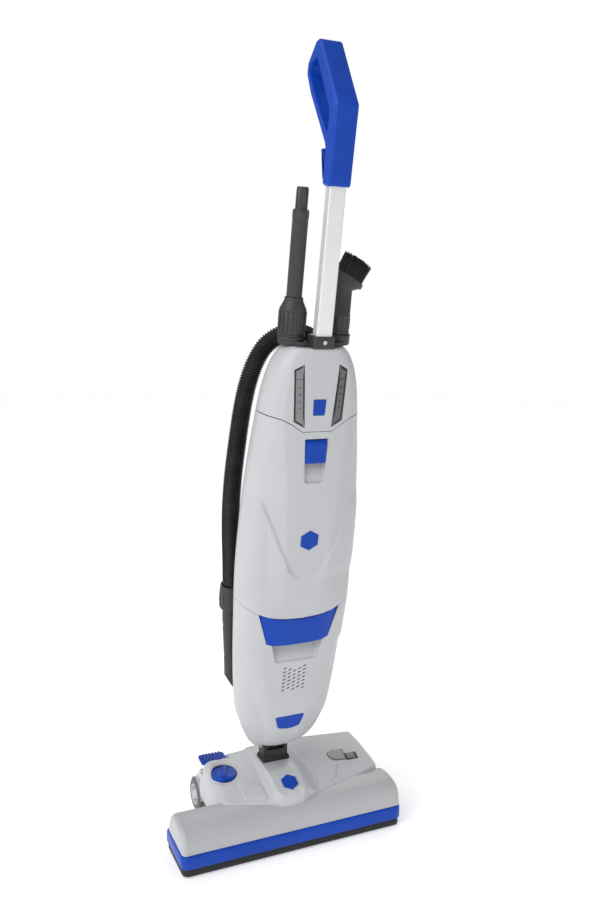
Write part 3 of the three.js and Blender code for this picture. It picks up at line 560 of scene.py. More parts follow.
LOOK = {
    "shell": finish("shell_plastic", (0.535, 0.542, 0.555), 0.36, mottle=0.02, depth=0.10, dust=0.25,
                    wear_tint=1.1, Coat_Weight=0.12, Coat_Roughness=0.28),
    "hood": finish("nozzle_plastic", (0.47, 0.475, 0.485), 0.36, mottle=0.02, depth=0.10, dust=0.25,
                   wear_tint=1.1, Coat_Weight=0.1, Coat_Roughness=0.28),
    "cover": finish("cover_plastic", (0.55, 0.557, 0.57), 0.36, mottle=0.02, depth=0.10, dust=0.25,
                    wear_tint=1.1, Coat_Weight=0.1, Coat_Roughness=0.28),
    "blue": finish("blue_plastic", (0.004, 0.056, 0.41), 0.38, mottle=0.10, depth=0.14, wear_tint=1.9,
                   Specular_IOR_Level=0.22),
    "dark": finish("dark_grey_plastic", (0.031, 0.032, 0.033), 0.46, mottle=0.10, depth=0.35,
                   grain=1500.0, wear=0.35, wear_tint=2.2, dust=0.3),
    "black": finish("black_plastic", (0.012, 0.012, 0.013), 0.4, mottle=0.15, depth=0.3,
                    grain=1500.0, wear_tint=3.0, dust=0.35),
    "rubber": finish("black_rubber", (0.017, 0.017, 0.018), 0.72, mottle=0.2, depth=0.4,
                     grain=1100.0, wear=0.5, wear_tint=2.6, dust=0.5),
    "hose": finish("hose_rubber", (0.010, 0.010, 0.011), 0.4, mottle=0.15, depth=0.12, wear=0.4,
                   wear_tint=2.6, dust=0.3, Specular_IOR_Level=0.3),
    "tyre": finish("grey_tyre", (0.17, 0.17, 0.175), 0.75, mottle=0.12, depth=0.4, wear=0.4,
                   wear_tint=0.7, dust=0.5),
    "smoke": finish("smoked_plastic", (0.085, 0.087, 0.09), 0.14, mottle=0.12, patch=60.0, depth=0.04,
                    wear=0.1, Coat_Weight=0.6, Coat_Roughness=0.06),
    "lens": finish("grey_lens", (0.20, 0.203, 0.21), 0.16, mottle=0.08, patch=70.0, depth=0.04,
                   wear=0.1, Coat_Weight=0.5, Coat_Roughness=0.08),
    "tube": finish("tube_metal", (0.84, 0.835, 0.84), 0.34, 0.35, mottle=0.03, depth=0.12, wear=0.15,
                   streak=(500.0, 500.0, 10.0), flow=((2600.0, 2600.0, 26.0), 0.5),
                   Coat_Weight=0.2, Coat_Roughness=0.15),
    "steel": finish("steel", (0.56, 0.57, 0.58), 0.28, 1.0, mottle=0.06, depth=0.2,
                    flow=((40.0, 2200.0, 2200.0), 0.6)),
    "alloy": finish("motor_alloy", (0.45, 0.46, 0.47), 0.42, 0.9, mottle=0.1, depth=0.3, grain=1600.0),
    "case": finish("battery_case", (0.02, 0.021, 0.023), 0.5, mottle=0.12, depth=0.3, grain=1600.0),
    "bristle": finish("bristle", (0.006, 0.006, 0.0065), 0.6, mottle=0.3, depth=0.3, wear_tint=3.0),
    "paper": finish("filter_paper", (0.62, 0.58, 0.49), 0.9, mottle=0.06, depth=0.5,
                    flow=((700.0, 20.0, 700.0), 0.9)),
    "board": finish("circuit_board", (0.02, 0.13, 0.05), 0.45, mottle=0.2, depth=0.2),
    "fleece": fabric_finish("fleece", (0.66, 0.63, 0.56)),
}


# ---- stage: camera, lights, floor ---------------------------------------------------------------
def make_camera():
    data = bpy.data.cameras.new("camera")
    data.lens = 33.87
    data.sensor_width = 36
    camera = bpy.data.objects.new("camera", data)
    bpy.context.collection.objects.link(camera)
    yaw, pitch, roll = math.radians(23.78), math.radians(8.31), 0.00761
    ahead = Vector((math.sin(yaw) * math.cos(pitch), math.cos(yaw) * math.cos(pitch), -math.sin(pitch)))
    level = Vector((math.cos(yaw), -math.sin(yaw), 0))
    upright = level.cross(ahead)
    right = level * math.cos(roll) + upright * math.sin(roll)
    top = upright * math.cos(roll) - level * math.sin(roll)
    turned = Matrix((right, top, -ahead)).transposed().to_4x4()
    camera.matrix_world = Matrix.Translation((-0.58328, -1.35100, 0.92817)) @ turned
    bpy.context.scene.camera = camera


def soft_light(name, place, aim, size, power):
    data = bpy.data.lights.new(name, "AREA")
    data.shape = "RECTANGLE"
    data.size, data.size_y = size
    data.energy = power
    light = bpy.data.objects.new(name, data)
    bpy.context.collection.objects.link(light)
    light.location = place
    light.rotation_euler = (Vector(aim) - Vector(place)).to_track_quat("-Z", "Y").to_euler()


def soft_sun(aim, spread, power):
    """A distant light from one side; a wide spread keeps its shadows faint and the floor even."""
    data = bpy.data.lights.new("sun", "SUN")
    data.angle = math.radians(spread)
    data.energy = power
    light = bpy.data.objects.new("sun", data)
    bpy.context.collection.objects.link(light)
    light.rotation_euler = Vector(aim).to_track_quat("-Z", "Y").to_euler()


def make_lights():
    middle = (0.0, 0.0, 0.6)
    soft_sun((0.85, 0.36, -0.80), 60, 1.45)
    soft_light("key", (-2.6, -1.5, 1.9), middle, (1.6, 2.4), 15)
    soft_light("fill", (1.9, -2.4, 1.5), middle, (1.8, 2.2), 3)
    soft_light("rim", (1.4, 2.2, 1.8), middle, (1.6, 2.0), 14)
    world = bpy.data.worlds.new("studio")
    world.use_nodes = True
    bpy.context.scene.world = world
    tree = world.node_tree
    pale = tree.nodes["Background"]
    pale.inputs["Color"].default_value = (0.96, 0.975, 1.0, 1)
    pale.inputs["Strength"].default_value = 0.40
    white = node(tree, "ShaderNodeBackground", {"Color": (1, 1, 1, 1), "Strength": 1.0})
    seen = node(tree, "ShaderNodeLightPath").outputs["Is Camera Ray"]
    mix = node(tree, "ShaderNodeMixShader", {0: seen, 1: pale.outputs[0], 2: white.outputs[0]})
    tree.links.new(mix.outputs[0], tree.nodes["World Output"].inputs["Surface"])
    bpy.context.scene.view_settings.view_transform = "Standard"


def make_floor():
    look = finish("floor", (0.95, 0.95, 0.95), 0.7, mottle=0.01, patch=3.0, grain=300.0, depth=0.03, wear=0)
    rings = [[(p.x, p.y, 0) for p in circle(r, 96)] for r in (12.0, 6.0, 3.0, 1.5, 0.7, 0.02)]
    shader = look.node_tree.nodes["Principled BSDF"]
    shader.inputs["Emission Color"].default_value = (1, 1, 1, 1)
    shader.inputs["Emission Strength"].default_value = 0.36
    floor = new_object("floor", rows_mesh(rings, True, False), look, Matrix.Identity(4))


make_camera()
make_lights()
make_floor()


# ---- hose ---------------------------------------------------------------------------------------
def hose_line(count):
    return spline([(x, -v, u) for x, v, u in HOSE_ROUTE], count)


def make_hose():
    pitch, samples, deep = 4.2, 6, 2.3
    count = round(HOSE_LENGTH / pitch) * samples + 1
    cuffed = 2 * samples

    def radius(k):
        wave = 0.5 + 0.5 * math.cos(2 * math.pi * k / samples)
        plain = k < cuffed or k >= count - cuffed
        return HOSE_R - 0.15 - (0.4 if plain else deep * (1 - wave ** 1.2))

    part = tube(hose_line(count), radius, 24)
    hose = make("hose", part, "hose", "body", ["suction_hose"], sharp=70)
    cuff_at = shift(HOSE_ROUTE[0][0], -DUCT["v"], 0)
    profile = [(14.8, 307), (18.2, 306), (19.2, 308), (20, 312), (20, 346), (19.6, 348.5), (18.8, 349),
               (18.8, 350.4), (19.3, 350.8), (19.3, 352), (17.6, 352), (17.2, 350), (17.2, 349),
               (14.8, 349)]
    ribs = [moved(block((19.2, 20.7), (-1.2, 1.2), (316, 340), 0.5), turn(30 * k, "Z")) for k in range(12)]
    cuff_part = moved(joined(lathe(profile + [profile[0]], 56), *ribs), cuff_at)
    cuff = make("hose_cuff_piece", cuff_part, "dark", "body", ["hose_cuff"])
    line = [BODY @ p for p in hose_line(61)]


make_hose()


# ---- body surface -------------------------------------------------------------------------------
# The crease beside the centre panel, and the edge of the shield below it: height u, distance x.
PANEL_EDGE = [(331, 34), (430, 38), (560, 47), (618, 52), (690, 58), (740, 54), (797, 44)]
SHIELD = [(398, 2), (405, 12), (414, 24), (430, 36), (443, 41), (476, 56), (505, 68), (542, 84), (560, 96)]
RIDGE_OUT = [(50, 26), (72, 32), (116, 38), (151, 51), (205, 70), (262, 84)]
RIDGE_IN = [(50, 10), (78, 18), (137, 37), (188, 51), (237, 61), (262, 66)]


def body_section(u):
    """Half width, front depth and rear depth at height u, with rounded rims at both ends."""
    low = clamp((49 - u) / 4)
    high = clamp((u - 794) / 3.2)
    rim = 4 * (1 - math.sqrt(1 - low * low)) + 3 * (1 - math.sqrt(1 - high * high))
    half, front, rear = [flowing(STATIONS, u, column) for column in (1, 2, 3)]
    return half - rim, front - (rim if low else 0), rear - rim


def relief(x, u):
    """How far the moulded front stands out of, or lies under, the plain rounded form."""
    side = abs(x)
    if u < 331:
        present = fade(u, 278, 255)
        inner = flowing(RIDGE_IN, u)
        outer = flowing(RIDGE_OUT, u)
        facet = clamp(side - inner, 0, outer - inner) * 0.16
        fall = clamp(side - outer, 0, 9) * 0.34
        return -present * (facet + fall)
    panel = flowing(PANEL_EDGE, u)
    slope = 0.25 * fade(u, 335, 420)
    level = -slope * clamp(side - panel, 0, 30)
    if u < 560:
        rise = fade(u, 398, 422) * fade(u, 560, 520)
        level += 4.0 * rise * fade(side - flowing(SHIELD, u), -5, 2)
    return level


def front_v(x, u):
    half, front, _ = body_section(u)
    share = clamp(abs(x) / half)
    return front * (1 - share ** FRONT_POWER) ** (1 / FRONT_POWER) + relief(x, u)


def rear_v(x, u):
    half, _, rear = body_section(u)
    share = clamp(abs(x) / half)
    return -rear * (1 - share ** REAR_POWER) ** (1 / REAR_POWER)


def section_point(angle, u, share=1.0):
    half, front, rear = body_section(u)
    c, s = math.cos(angle), math.sin(angle)
    power = 2 / (FRONT_POWER if s > 0 else REAR_POWER)
    x = half * math.copysign(abs(c) ** power, c)
    v = (front if s > 0 else rear) * math.copysign(abs(s) ** power, s)
    if s > 0:
        v += relief(x, u) * fade(s, 0, 0.25)
    return Vector((x * share, -v * share, u))


def even_angles(start, end, count, u=450.0):
    """Angles that space the section's points evenly between two angles."""
    fine = [start + (end - start) * k / 1500 for k in range(1501)]
    places = [section_point(a, u) for a in fine]
    reach = [0.0]
    for p, q in zip(places, places[1:]):
        reach.append(reach[-1] + (q - p).length)
    out = []
    for k in range(count):
        want = reach[-1] * k / (count - 1)
        i = max(1, min(bisect.bisect_left(reach, want), 1500))
        share = (want - reach[i - 1]) / (reach[i] - reach[i - 1])
        out.append(fine[i - 1] + (fine[i] - fine[i - 1]) * share)
    return out


def split_angle(u, v):
    return math.asin(clamp(abs(v) / body_section(u)[2]) ** (REAR_POWER / 2))


SPLIT_REF = split_angle(450, SPLIT_V)
FRONT_ANGLES = even_angles(-SPLIT_REF, math.pi + SPLIT_REF, 131)
REAR_ANGLES = even_angles(math.pi + SPLIT_REF, 2 * math.pi - SPLIT_REF, 101)
ALL_ANGLES = even_angles(0, 2 * math.pi, 221)[:-1]


def front_angle(k, u):
    reach = math.pi / 2 + split_angle(u, SPLIT_V + SEAM_GAP)
    return math.pi / 2 + (FRONT_ANGLES[k] - math.pi / 2) * reach / (math.pi / 2 + SPLIT_REF)


def rear_angle(k, u):
    reach = math.pi / 2 - split_angle(u, SPLIT_V)
    return 1.5 * math.pi + (REAR_ANGLES[k] - 1.5 * math.pi) * reach / (math.pi / 2 - SPLIT_REF)


def whole_angle(k, u):
    return ALL_ANGLES[k]


def on_seam(seam, angle_of, k, guess):
    """The height where column k meets a seam that is a height for each distance x."""
    u = guess
    for _ in range(8):
        u = seam(abs(section_point(angle_of(k, u), u).x))
    return u


def skin(angle_of, columns, low, high, rows, guesses, floor=(), roof=(), closed=False):
    """A skin of the body between two seams. floor and roof are shares of end rows that turn inwards."""
    lows = [on_seam(low, angle_of, k, guesses[0]) for k in range(columns)]
    highs = [on_seam(high, angle_of, k, guesses[1]) for k in range(columns)]
    grid = [[section_point(angle_of(k, lows[k]), lows[k], share) for k in range(columns)]
            for share in floor]
    for r in range(rows + 1):
        t = r / rows
        row = []
        for k in range(columns):
            u = lows[k] + (highs[k] - lows[k]) * t
            row.append(section_point(angle_of(k, u), u))
        grid.append(row)
    grid += [[section_point(angle_of(k, highs[k]), highs[k], share) for k in range(columns)]
             for share in roof]
    return rows_mesh(grid, closed, False)


def outwards(obj, axis_point):
    """Turns an open skin's faces away from the body's axis."""
    mesh = obj.data
    face = mesh.polygons[len(mesh.polygons) // 2]
    if face.normal.dot(face.center - axis_point) < 0:
        mesh.flip_normals()
    return obj


def shell_piece(name, part):
    obj = new_object(name, part, LOOK["shell"], BODY, 38, closed=False)
    face = obj.data.polygons[len(obj.data.polygons) // 2]
    middle = BODY.inverted() @ face.center
    if face.normal.dot(BODY.to_3x3() @ Vector((middle.x, middle.y, 0))) < 0:
        obj.data.flip_normals()
    return thickened(obj, SKIN)


def on_front(p):
    """Maps (x, u, height) onto the moulded front."""
    return Vector((p.x, -(front_v(p.x, p.y) + p.z), p.y))


def on_rear(p):
    return Vector((p.x, -(rear_v(p.x, p.y) - p.z), p.y))


def front_prism(outline, low):
    """A straight cutter from a depth out through the front, by its outline in x and u."""
    return rows_mesh([[(p.x, -v, p.y) for p in outline] for v in (low, 100.0)])


def trapezium(top, low, half_top, half_low, radius, spacing=3.0):
    corners = [(-half_top, top), (-half_low, low), (half_low, low), (half_top, top)]
    return densified(rounded(corners, radius), spacing)


# ---- body covers --------------------------------------------------------------------------------
LATCH_HOLE = densified(vectors(
    [(x * 1.012, u + 4) for x, u in mirrored(LATCH_TOP)]
    + [(x * 1.012, u - 0.5) for x, u in reversed(mirrored(LATCH_LOW))]
), 4.0)
LATCH_POCKET = trapezium(282.5, 243, 48.8, 38.4, [3, 7, 7, 3])
DOOR_POCKET = trapezium(652, 578, 20.8, 17.5, [2, 7, 7, 2])


def top_seam(side):
    return (along(TOP_SEAM, side - 1.5) + along(TOP_SEAM, side) + along(TOP_SEAM, side + 1.5)) / 3


def door_seam(side):
    return flowing(DOOR_SEAM, side)


def exhaust_holes():
    """The exhaust grille: five staggered columns of slanted slots."""
    holes = []
    for column in range(-2, 3):
        rows = 6 if column % 2 else 7
        for row in range(rows):
            u = 229.5 - row * 7.6 - (3.8 if column % 2 else 0)
            if column == 0 and row == 0:
                continue
            x = column * 9.4
            slanted = [(x - 3.3, u - 2.7), (x + 2.9, u - 0.5), (x + 3.3, u + 2.7), (x - 2.9, u + 0.5)]
            holes.append(front_prism(rounded(slanted, 1.3, 3), 20.0))
    return joined(*holes)


def exhaust_dimples():
    """Blind dimples that continue the grille on both sides."""
    dimples = []
    for side in (-1, 1):
        for column in (3, 4):
            for row in range(6 if column == 3 else 4):
                u = 226 - row * 7.0 - (3.5 if column == 3 else 0)
                x = side * column * 9.0
                if abs(x) + 5 > 35 + (u - 168) * 0.12:
                    continue
                corners = [(x - 2.6, u - 1.7), (x + 2.6, u - 1.7), (x + 2.6, u + 1.7), (x - 2.6, u + 1.7)]
                dimple = pad(rounded(corners, 1.2, 3), -0.8, 0.25, 0.3, rings=1)
                dimples.append(warped(dimple, on_front))
    return joined(*dimples)


def make_door():
    part = skin(front_angle, 131, lambda s: door_seam(s) + 0.5,
                lambda s: top_seam(s) - s / 90 - 0.2, 150, (340, 670))
    door = shell_piece("bag_door_shell", part)
    cut(door, front_prism(inset(DOOR_POCKET, -0.2), 0.0), BODY)
    settle(door, "door", ["bag_door"])

    def depth(x, u):
        return 4.5 + 12 * fade(u, 580, 618)

    recess = warped(basin(DOOR_POCKET, 0.22, depth, 3.0), on_front)
    make("door_latch_recess", recess, "shell", "door")
    badge = [Vector((x, u + 477)) for x, u in hexagon(18)]
    plate = warped(pad(densified(badge, 3), -1.0, 1.3, 0.8, rings=5, crown=0.15), on_front)
    make("door_badge", plate, "blue", "door", ["body_badge"])


def make_lower_cover():
    part = skin(front_angle, 131, lambda s: 45.0, lambda s: door_seam(s) - 0.1, 130, (45, 340),
                floor=(0.62, 0.75, 0.88, 0.97))
    cover = shell_piece("lower_cover_shell", part)
    cut(cover, front_prism(LATCH_HOLE, 20.0), BODY)
    cut(cover, front_prism(inset(LATCH_POCKET, -0.2), 0.0), BODY)
    cut(cover, exhaust_holes(), BODY)
    settle(cover, "body", ["lower_front_cover"])

    def depth(x, u):
        return 3.0 + 15 * fade(u, 243, 275)

    recess = warped(basin(LATCH_POCKET, 0.22, depth, 4.0), on_front)
    make("filter_latch_recess", recess, "shell", "body")
    make("exhaust_dimples", exhaust_dimples(), "shell", "body")
    foot = rounded([(-28.8, 128), (-21, 103), (0, 98), (21, 103), (28.8, 128)], [4, 7, 40, 7, 4])
    plate = warped(pad(densified(foot, 3), -1.0, 1.2, 0.9, rings=5, crown=0.2), on_front)
    make("foot_badge_plate", plate, "blue", "body", ["foot_badge"])


def make_rear_shell():
    part = skin(rear_angle, 101, lambda s: 45.0, lambda s: top_seam(s) - 0.1, 220, (45, 690),
                floor=(0.62, 0.75, 0.88, 0.97))
    rear = shell_piece("rear_shell_moulding", part)
    slots = []
    for row in range(9):
        for side in (-1, 1):
            outline = rounded([(side * 8, 150 + row * 9), (side * 44, 150 + row * 9),
                               (side * 44, 154 + row * 9), (side * 8, 154 + row * 9)], 1.9, 4)
            slots.append(rows_mesh([[(p.x, -v, p.y) for p in outline] for v in (-75.0, -35.0)]))
    cut(rear, joined(*slots), BODY)
    settle(rear, "body", ["rear_shell"])
    hatch = densified(rounded([(-52, 300), (52, 300), (46, 620), (-46, 620)], 14), 5)
    plate = warped(pad(hatch, -1.0, 1.4, 1.2, rings=12), on_rear)
    make("rear_panel", plate, "shell", "body")
    for side in (-1, 1):
        for u in (120, 262, 400, 540, 650):
            head = circle(4.2, 24, side * (62 if u > 130 else 48), u)
            screw = warped(pad(head, -1.5, 0.5, 0.5, rings=2), on_rear)
            name = "left" if side < 0 else "right"
            make(f"rear_screw_{name}_{u}", screw, "steel", "body")


def window_outline(side, grow=0.0):
    corners = [(42.4 + grow, 682 - grow), (23.5 - grow, 671 - 2 * grow), (30.6 - grow, 773 + grow),
               (46.2 + grow, 764 + grow)]
    points = [(side * x, u) for x, u in corners]
    return densified(rounded(points, 1.2, 3), 3.0)


BUTTON = [(-11, 717), (-10, 691), (10, 691), (11, 717)]


def make_top_housing():
    part = skin(whole_angle, 220, lambda s: top_seam(s) + 0.4, lambda s: 797.2, 60, (690, 797),
                roof=(0.9, 0.7, 0.4, 0.1), closed=True)
    housing = shell_piece("top_housing_shell", part)
    openings = [front_prism(window_outline(side, 0.3), 0.0) for side in (-1, 1)]
    button_gap = rounded([(x * 1.04, (u - 704) * 1.03 + 704) for x, u in BUTTON], 2)
    openings.append(front_prism(densified(button_gap, 3), 0.0))
    cut(housing, joined(*openings), BODY)
    settle(housing, "body", ["top_housing"])


def make_windows():
    for side, name in ((-1, "left"), (1, "right")):
        outline = window_outline(side, -0.1)
        frame_part = warped(pad(outline, -3.0, -0.2, 0.4, rings=4), on_front)
        make(f"window_frame_{name}", frame_part, "black", "body", [f"display_window_{name}"])
        pane = inset(outline, 2.6 if side < 0 else 3.6)
        glass = warped(pad(pane, -0.6, 0.15, 0.3, rings=4), on_front)
        # Painted light: the left window's pane takes the lighter grey lens and the right's the darker smoke,
        # the left one lit by the key light and the right one in shade.
        look = "lens" if side < 0 else "smoke"
        make(f"window_pane_{name}", glass, look, "body")
        cells = []
        for u, tall in ((749, 1.4), (702, 2.6), (713, 2.6), (724, 2.6), (735, 2.6)):
            x = side * (34.2 + (u - 700) * 0.055)
            wide = 5.6 if u > 740 else 1.9
            bar = rounded([(x - wide, u), (x + wide, u), (x + wide, u + tall), (x - wide, u + tall)], 0.6, 3)
            cells.append(warped(pad(bar, -0.2, 0.3, 0.1, rings=1), on_front))
        # Painted light: the left window's cells take the lighter smoke and the right's the darker case
        # colour, lit on the left and shaded on the right.
        look = "smoke" if side < 0 else "case"
        make(f"window_cells_{name}", joined(*cells), look, "body")


def make_blue_controls():
    button = densified(rounded(BUTTON, 2.2), 2.0)
    cap = warped(pad(button, -4.0, 0.4, 0.8, rings=4, crown=-0.5), on_front)
    dot = warped(pad(circle(3.2, 28, 0, 703), -0.6, 0.5, 0.4, rings=2), on_front)
    make("power_button_cap", joined(cap, dot), "blue", "power_button", ["power_button"])
    corners = [(-19.4, 649.6), (-18.6, 611), (18.6, 611), (19.4, 649.6)]
    latch = densified(rounded(corners, [2, 1.5, 1.5, 2]), 2.0)

    def bowed(p):
        """The thumb latch bows out of its recess and rolls in at its top."""
        across = 1 - (p.x / 20) ** 2
        roll = 5.0 * clamp((p.y - 643) / 7) ** 2
        return Vector((p.x, -(front_v(0, p.y) - 1.6 + p.z + 1.6 * across - roll), p.y))

    plate = warped(pad(latch, -2.6, 0.4, 0.7, 0.4, rings=5), bowed)
    grips = []
    for k in range(3):
        u = 615 + k * 3.4
        bar = rounded([(-13, u), (13, u), (13, u + 1.3), (-13, u + 1.3)], 0.6, 3)
        grips.append(warped(pad(densified(bar, 3), -0.5, 0.75, 0.3, rings=1), bowed))
    make("door_latch_plate", joined(plate, *grips), "blue", "door_latch", ["bag_door_latch"])


def make_filter_latch():
    """The wide blue latch: a bowed centre and two folded wings."""
    foot = [(60, 283), (46, 279), (20, 277.3), (-20, 277.3), (-46, 279), (-60, 283)]
    corners = mirrored(LATCH_TOP) + foot
    radii = [1.5, 30, 60, 30, 1.5, 2, 2, 60, 60, 2, 2]
    outline = densified(rounded(corners, radii, 5), 2.5)

    def folded(p):
        wing = 0.22 * clamp(abs(p.x) - 51, 0, 40)
        dish = 0.5 * fade(p.y, 300, 279) * (1 - (p.x / 60) ** 2 if abs(p.x) < 60 else 0)
        plain = front_v(p.x, p.y) - relief(p.x, p.y)
        return Vector((p.x, -(plain + 1.1 - wing - dish + p.z), p.y))

    plate = warped(pad(outline, -3.0, 0.3, 1.0, 0.5, rings=9), folded)
    make("filter_latch_plate", plate, "blue", "filter_latch", ["filter_latch"])


make_door()
make_lower_cover()
make_rear_shell()
make_top_housing()
make_windows()
make_blue_controls()
make_filter_latch()


# ---- base: bumper, skirt and hood ---------------------------------------------------------------
def upright(points, x0, x1, edge):
    """A plate across X from an outline in Y and Z."""
    flat = pad(vectors(points), x0, x1, edge, edge, rings=0)
    return warped(flat, lambda p: Vector((p.z, p.x, p.y)))


def nozzle_line(offset, radius, rear=NOZZLE_REAR_Y):
    """The nozzle's U-shaped front line seen from above, from its left rear end to its right."""
    half, front = BASE_HALF - offset, NOSE_Y + offset
    bend = [math.pi * (1 + k / 24) for k in range(13)]
    left = [Vector((-half, rear)), Vector((-half, rear - 1)), Vector((-half, 20)), Vector((-half, -10))]
    left += [Vector((radius * (1 + math.cos(a)) - half, front + radius * (1 + math.sin(a)))) for a in bend]
    middle = [Vector((x * 10.0, front)) for x in range(-19, 20)]
    return left + middle + [Vector((-p.x, p.y)) for p in reversed(left)]


def rim_sweep(path, section):
    """A sweep whose two ends are slightly rounded."""
    points, faces = sweep(path, section)
    count = len(section)
    centre_up = sum(b for _, b in section) / count
    for first in (0, len(points) - count):
        ring = range(first, first + count)
        middle = sum((points[i] for i in ring), Vector()) / count
        for i in ring:
            points[i] = middle + (points[i] - middle) * 0.9
            points[i].z = centre_up + (points[i].z - centre_up) * 1.02
    return points, faces


def make_bumper():
    low, high = BUMPER_Z
    section = [(-6, low), (-1.6, low), (-0.5, low + 0.6), (0, low + 2), (0, high - 8), (-0.4, high - 3.2),
               (-1.2, high - 1.2), (-2.6, high - 0.2), (-3.6, high), (-6, high)]
    band = rim_sweep(nozzle_line(0, 14), section)
    make("bumper_band", band, "blue", "base", ["front_bumper"], sharp=50)
    top = low - SEAM_GAP
    section = [(-3, SKIRT_Z), (-0.8, SKIRT_Z), (0, SKIRT_Z + 1), (0.4, SKIRT_Z + 5), (0, SKIRT_Z + 6.2),
               (0, top - 1), (-0.6, top), (-3, top)]
    band = rim_sweep(nozzle_line(3, 11), section)
    make("skirt_band", band, "rubber", "base", ["rubber_skirt"], sharp=50)


HOOD = [(-43, 42), (-42, 50), (-40, 60), (-34, 73), (-22, 81), (-4, 85), (18, 85.5), (32, 81), (43, 69),
        (51, 52), (53, 42)]


def hood_profile(pull):
    """The loaf-shaped section with its points pulled towards its middle, except at the bottom."""
    line = spline([(y, z, 0) for y, z in HOOD], 60)
    middle = Vector((4, 42, 0))
    out = []
    for p in line:
        way = p - middle
        q = middle + way * max(0.0, 1 - pull / way.length)
        out.append((q.x, max(42.0, q.y)))
    return out


def make_hood():
    end = BASE_HALF - 2
    rows = []
    places = [(end, pull) for pull in (60, 38, 28, 18)]
    for angle in [k * math.pi / 16 for k in range(9)]:
        places.append((end - 9 * (1 - math.cos(angle)), 9 * (1 - math.sin(angle))))
    places += [(end - 12.6, 0), (end - 13.1, 0.5), (end - 13.6, 0.5), (end - 14.1, 0)]
    places += [(x, 0) for x in range(190, -1, -10)]
    columns = [(-x, pull) for x, pull in places] + [(x, pull) for x, pull in reversed(places) if x > 0]
    for x, pull in columns:
        rows.append([(x, y, z) for y, z in hood_profile(pull)])
    hood = new_object("hood_moulding", rows_mesh(rows, False), LOOK["hood"], BASE, 38, closed=False)
    outwards(hood, BASE @ Vector((0, 5, 40)))
    thickened(hood, 2.8, 0.4)
    settle(hood, "base", ["nozzle_hood"])


# ---- base: top cover ----------------------------------------------------------------------------
COVER_FRONT = [
    (-127, 30), (-118, 14), (-85, 1), (-34, -16), (-18, -23), (0, -25), (18, -24), (34, -18), (140, 13),
    (197, 27),
]
COVER_REAR = [(-127, 134), (-68, 142), (0, 150), (197, 156)]
COVER_X = (-127.0, 197.0)
LEFT_PANEL = [(-82, 9), (-42, -3), (-41, 26), (-70, 48), (-84, 52)]
VENT_GROUPS = (72.0, 132.0)
VENT_PITCH = 6.0
RIGHT_PANEL = [(62, -1), (104, 14), (122, 44), (92, 56), (68, 26)]


def edge_drop(distance, radius):
    reach = clamp(1 - distance / radius)
    return radius * (1 - math.sqrt(1 - reach * reach))


def inside_by(outline, x, y):
    """How far a point lies inside a convex outline; negative outside."""
    least = 1e9
    for (x0, y0), (x1, y1) in zip(outline, outline[1:] + outline[:1]):
        length = math.hypot(x1 - x0, y1 - y0)
        least = min(least, ((x1 - x0) * (y - y0) - (y1 - y0) * (x - x0)) / length)
    return least


def cover_form(x, y):
    """The cover's plain height: wings that rise to the back, a raised spine and a lower right end."""
    front = flowing(COVER_FRONT, x)
    t = clamp((y - front) / (along(COVER_REAR, x) - front))
    wing = 87 + 34 * math.sin(math.pi / 2 * t) * (1 - 0.35 * clamp((x - 90) / 107))
    end = 9 * clamp((x - 150) / 47) * (1 - t)
    ridge = 125 - 18 * clamp((30 - y) / 50) ** 1.3
    spine = 1 - (fade(-x, 29, 39) if x < 0 else fade(x, 22, 62))
    rear = 9 * clamp((t - 0.85) / 0.15) ** 2
    return max(wing + end, wing + (ridge - wing) * spine) - rear


def cover_z(x, y):
    """The height with rounded edges, the knob's bowl and the outlined panels."""
    z = cover_form(x, y)
    front = flowing(COVER_FRONT, x)
    nose = 8 * fade(26 - abs(x), 0, 16) + 3.5
    z -= edge_drop(x - COVER_X[0], 16) + edge_drop(COVER_X[1] - x, 4)
    z -= edge_drop(y - front, nose) + edge_drop(along(COVER_REAR, x) - y, 7)
    reach = math.hypot(x - KNOB["x"] - 4, y - KNOB["y"] + 2)
    z -= 2.6 * fade(reach, 33, 29.5)
    for outline in (LEFT_PANEL, RIGHT_PANEL):
        depth = -inside_by(outline, x, y)
        z += 1.7 * fade(depth, -0.2, -1.3)
    for start in VENT_GROUPS:
        phase = (x - start) % VENT_PITCH
        if 0 <= x - start < 7 * VENT_PITCH and phase < 3.0:
            z -= 2.6 * fade(along(COVER_REAR, x) - y, 18.5, 17) * fade(abs(phase - 1.5), 1.5, 0.9)
    if x < PEDAL["x"][1] + 2:
        bay = fade(PEDAL["x"][1] + 1.4 - x, 0, 0.8) * fade(y, PEDAL["y"][0] - 2.4, PEDAL["y"][0] - 1.4)
        z -= max(0.0, z - 91.5) * bay
    return z


def refined(marks, spacing):
    """Numbers from the first mark to the last, no further apart than the spacing at each stretch."""
    out = []
    for (start, step), (stop, _) in zip(zip(marks, spacing), zip(marks[1:], marks[1:])):
        parts = max(1, round((stop - start) / step))
        out += [start + (stop - start) * k / parts for k in range(parts)]
    return out + [marks[-1]]


def cover_rows():
    marks = [COVER_X[0], -122, -75, -72, -41, -27, 60, 174, 193, COVER_X[1]]
    columns = refined(marks, [0.6, 1.3, 0.4, 1.3, 0.8, 1.5, 0.6, 2, 0.6])
    shares = refined([0, 0.012, 0.05, 0.9, 0.99, 1], [0.003, 0.008, 0.0095, 0.012, 0.004])
    rows = []
    for x in columns:
        front, rear = flowing(COVER_FRONT, x), along(COVER_REAR, x)
        row = [(x, front, 42), (x, front, 60), (x, front, 74)]
        row += [(x, front + (rear - front) * t, cover_z(x, front + (rear - front) * t)) for t in shares]
        row += [(x, rear, 80), (x, rear, 66), (x, rear, 42)]
        rows.append(row)
    return rows


def end_wall(row, x):
    """Rows that carry one end of the cover straight down to its foot."""
    return [[(x, y, max(42.0, z - (z - 42) * share)) for _, y, z in row] for share in (1.0, 0.66, 0.33)]


